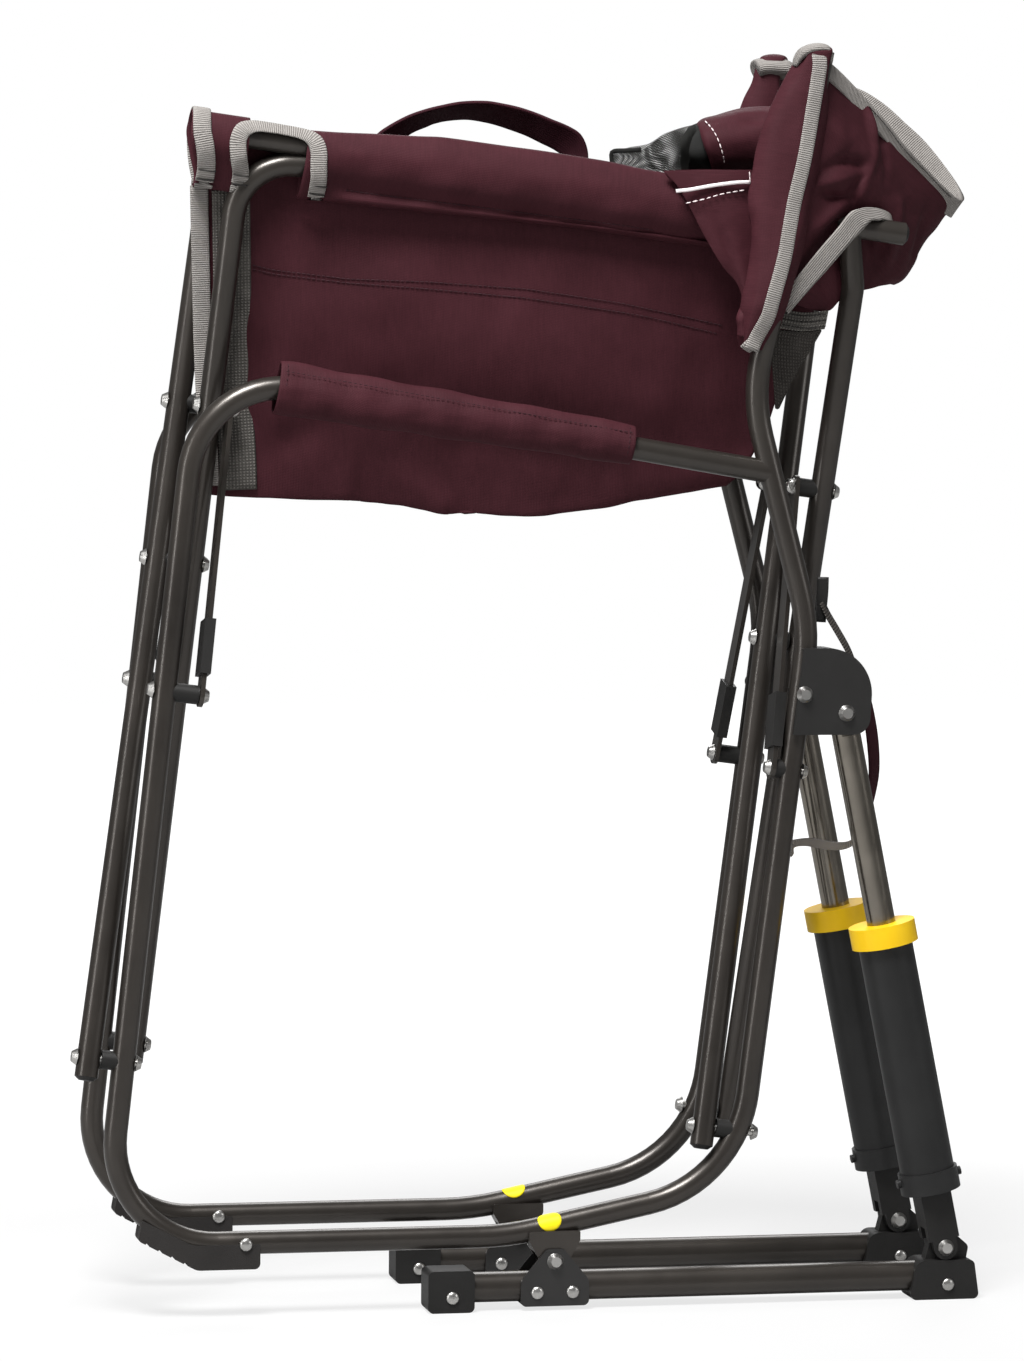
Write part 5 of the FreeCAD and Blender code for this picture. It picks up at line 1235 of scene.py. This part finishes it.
def carry_handle():
    """The webbing strap that stands up in an arch over the far rail."""
    upper = laid((372, 148, 46), (374, 140, 46), (379, 133.5, 45), (390, 126, 44), (408, 116.5, 43),
                 (425, 110.5, 43), (441, 106.5, 42), (462, 102.6, 42), (486, 102, 42), (503, 104.5, 43),
                 (519, 108, 43), (536, 113.5, 44), (552, 120, 44), (567, 126, 45), (579, 133, 46), (585, 142, 47),
                 (588, 153, 48), (588, 166, 48))
    lower = laid((398, 150, 55), (399, 143, 55), (405, 137, 56), (414, 131, 57), (426, 126, 58), (433, 123, 58),
                 (446, 120, 58), (465, 118.6, 58), (480, 120.5, 58), (495, 124, 58), (510, 129, 58),
                 (526, 135, 58), (540, 142, 57), (552, 148, 56), (561, 154, 55), (566, 158, 54), (568, 164, 53),
                 (568, 170, 52))
    strap = sewn("carry_strap", list(zip(upper, lower)), 12, 140, 0.0022, None, WEBBING)
    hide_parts("carry_handle")
    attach(strap, RAIL_BODY["far"])


def retaining_strap():
    """The strap that keeps the folded frames together, from a riveted tab to a loose grey end."""
    tab = laid((823, 577, -46), (822.5, 592, -46), (821, 608, -45.6), (820, 622, -45))
    tail = laid((822, 602, -46.4), (828, 615, -46.6), (838, 632, -47), (848, 650, -47.4), (855, 668, -48),
                (858, 680, -48.4))
    strap = laid((857, 670, -47), (863, 690, -45), (869, 716, -40), (873, 745, -34), (874, 772, -30),
                 (871, 795, -28), (866, 818, -27), (859, 838, -27))
    strap_faces = directions((0.7, -0.7, 0.1), (0.66, -0.75, 0), (0.6, -0.8, 0), (0.55, -0.83, 0), (0.6, -0.8, 0),
                             (0.7, -0.7, -0.1), (0.8, -0.55, -0.2), (0.8, -0.5, -0.3))
    end = laid((861, 832, -27), (853, 842, -27), (842, 846, -27), (826, 845, -28), (808, 842, -30),
               (794, 844, -33), (786, 852, -35))
    end_faces = directions((0.5, -0.5, -0.7), (0.3, -0.55, -0.8), (0.1, -0.6, -0.8), (0, -0.6, -0.8),
                           (0, -0.6, -0.8), (-0.3, -0.6, -0.7), (-0.6, -0.6, -0.5))
    pieces = [
        band("strap_tab", tab, Vector((-0.2, -1, 0)), 0.0082, 0.002, PLASTIC, 0.002),
        band("strap_tail", tail, Vector((0.86, -0.5, 0.1)), 0.0115, 0.0018, REAR_WEBBING, 0.002),
        band("leg_strap", strap, strap_faces, 0.0125, 0.0022, WEBBING, 0.003),
        band("strap_end", end, end_faces, 0.0105, 0.0017, BINDING, 0.002),
    ]
    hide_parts("retaining_strap")
    for piece in pieces:
        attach(piece, CROSS["far"])


# Fastener heads and stickers.


def screw_head():
    """A pan head with a cross recess, one unit in radius, its foot at nought and facing up."""
    rings = ((0.0, 0.62), (0.14, 0.62), (0.26, 0.615), (0.36, 0.605), (0.5, 0.58), (0.66, 0.53), (0.8, 0.45),
             (0.9, 0.36), (0.97, 0.23), (1.0, 0.08), (1.0, 0.0))
    sides = 48
    recess = 0.24
    points = []
    for reach, height in rings:
        for c, s in around(sides):
            slotted = min(abs(c), abs(s)) * reach < 0.15 and reach < 0.6
            points.append(Vector((c * reach, s * reach, height - (recess if slotted else 0))))
    return recalculated(mesh_of("screw_head", points, ring_faces(len(rings), sides)))


def rivet_head():
    """A low dome, one unit in radius."""
    sides = 32
    turns = [t * math.pi / 20 for t in range(1, 11)]
    profile = [(math.sin(turn), 0.5 * math.cos(turn)) for turn in turns] + [(1.0, -0.1)]
    points = [Vector((c * reach, s * reach, height)) for reach, height in profile for c, s in around(sides)]
    faces = ring_faces(len(profile), sides) + [(j, (j + 1) % sides, len(points)) for j in range(sides)]
    return recalculated(mesh_of("rivet_head", points + [Vector((0, 0, 0.5))], faces))


# How far a bolt's head reaches back from its end, in metres.
HEAD_DEPTH = 0.0035


def heads_of(node):
    """Where each bolt of a node ends in a head along the chair's width: place, outward direction and radius."""
    work = bmesh.new()
    work.from_mesh(bpy.data.objects[node].data)
    bmesh.ops.remove_doubles(work, verts=work.verts, dist=0.00001)
    left = set(work.verts)
    found = []
    while left:
        reached = [left.pop()]
        part = []
        while reached:
            vertex = reached.pop()
            part.append(vertex.co.copy())
            for edge in vertex.link_edges:
                other = edge.other_vert(vertex)
                if other in left:
                    left.discard(other)
                    reached.append(other)
        low = Vector([min(p[i] for p in part) for i in range(3)])
        high = Vector([max(p[i] for p in part) for i in range(3)])
        middle = (low + high) / 2
        size = high - low
        if size.y < max(size.x, size.z):
            continue
        reach = [(p.y, math.hypot(p.x - middle.x, p.z - middle.z)) for p in part]
        widest = max(r for y, r in reach)
        for direction, end in ((-1, low.y), (1, high.y)):
            near_end = [r for y, r in reach if abs(y - end) < HEAD_DEPTH]
            if near_end and max(near_end) > 0.9 * widest:
                found.append((Vector((middle.x, end, middle.z)), Vector((0, direction, 0)), max(near_end)))
    work.free()
    return found


# A bolt's head is a screw from this radius up, in metres, and a rivet below it.
SMALLEST_SCREW = 0.0049
# How deep a head sits in the bolt's own end, and how wide it is, as shares of the bolt's radius.
HEAD_SINK = 0.42
HEAD_OVERLAP = 1.04


def detail_heads():
    kinds = (("frame", "bolts"), ("base", "fasteners"), ("brace", "bolts"))
    groups = [(side + "_" + kind, side + "_" + kind + "_" + bolts) for kind, bolts in kinds for side in CROSS]
    groups += [(body, side + "_footed_pivot_bolts") for side, body in CROSS.items()]
    for body, node in groups:
        found = heads_of(node)
        for kind, shape, wanted in (("screw", screw_head, True), ("rivet", rivet_head, False)):
            chosen = [one for one in found if (one[2] > SMALLEST_SCREW) == wanted]
            if not chosen:
                continue
            spots = [spot - out * (reach * HEAD_SINK) for spot, out, reach in chosen]
            outs = [out for spot, out, reach in chosen]
            aside = [Vector((math.cos(i * 1.3), 0, math.sin(i * 1.3))) for i in range(len(chosen))]
            spans = [reach * HEAD_OVERLAP for spot, out, reach in chosen]
            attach(repeated(node + "_" + kind, shape(), spots, aside, outs, spans, ZINC), body)


def skin_of(mesh):
    return bvhtree.BVHTree.FromPolygons([v.co for v in mesh.vertices], [tuple(p.vertices) for p in mesh.polygons])


STICKER_RADIUS = 0.0082


def sticker(side, sign, x, y, lean):
    """A plain yellow disc wrapped over the lower side tube, turned by lean from its top."""
    skin = skin_of(bpy.data.objects[side + "_side_tube"].data)
    across = seen(x, y, sign * 66).x
    tube = TUBE_R * MM
    axis = []
    for step in (-0.012, 0.012):
        top = skin.ray_cast(Vector((across + step, 0.06 * sign, 0.14)), Vector((0, 0, -1)))[0]
        axis.append(top - Vector((0, 0, tube)))
    middle = (axis[0] + axis[1]) / 2
    aside = (axis[1] - axis[0]).normalized()
    points = []
    rings = 8
    sides = 40
    for i in range(rings):
        reach = STICKER_RADIUS * (i + 0.02) / (rings - 1)
        for c, s in around(sides):
            turn = lean + s * reach / tube
            outward = Vector((0, -math.sin(turn), math.cos(turn)))
            outward = (outward - aside * outward.dot(aside)).normalized()
            points.append(middle + aside * (c * reach) + outward * (tube + 0.00025))
    mesh = recalculated(mesh_of(side + "_sticker", points, ring_faces(rings, sides) + [tuple(range(sides))]))
    turn_out(mesh, Vector((0, -math.sin(lean), math.cos(lean))))
    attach(thicken(keep(side + "_sticker", mesh, STICKER), 0.0003), side + "_frame")


def on_skin(name, spots):
    """Points just off a piece's surface, where it shows along a line of pixels."""
    skin = skin_of(bpy.data.objects[name].data)
    found = []
    for (x, y), (next_x, next_y) in zip(spots, spots[1:]):
        count = max(1, round((next_x - x) / 12))
        for i in range(count):
            share = i / count
            ray = (seen(x + (next_x - x) * share, y + (next_y - y) * share, 0) - EYE).normalized()
            hit = skin.ray_cast(EYE, ray)[0]
            if hit:
                found.append(hit - ray * 0.0009)
    return found


def seat_stitching():
    """The doubled seam across the near half of the seat, and the stitches above the sleeve's hem."""
    facing = Vector((0, -1, 0.1))
    upper = on_skin("seat_cloth", ((252, 265), (273, 270), (348, 279), (429, 282), (525, 289), (560, 294),
                                   (620, 303), (648, 309), (690, 318), (733, 328)))
    lower = on_skin("seat_cloth", ((252, 269), (273, 274), (348, 283), (429, 289), (525, 298), (560, 303),
                                   (620, 312), (648, 317), (690, 327), (731, 337)))
    lines = [stitch_line(upper, facing), stitch_line(lower, facing)]
    on_seat(stitches("seat_seam_stitches", lines, MAROON_THREAD, SEAM_STITCH))
    hem = on_skin("near_seat_sleeve", ((345, 190), (387, 196), (429, 201), (477, 207), (525, 213), (572, 219),
                                       (620, 225), (665, 232)))
    above_hem = stitches("near_hem_stitches", [stitch_line(hem, facing)], MAROON_THREAD, HEM_STITCH)
    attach(above_hem, RAIL_BODY["near"])


for side, sign in SIDES:
    arm_sleeve(side, sign)
    wing(side, sign)
    if side == "near":
        near_wing_trim()
    else:
        far_wing_trim()
back_cloth()
pleats()
roll()
pocket()
rail_straps()
carry_handle()
retaining_strap()
detail_heads()
seat_stitching()
sticker("near", -1, 551, 1217, 0.85)
sticker("far", 1, 513, 1192, 0.3)
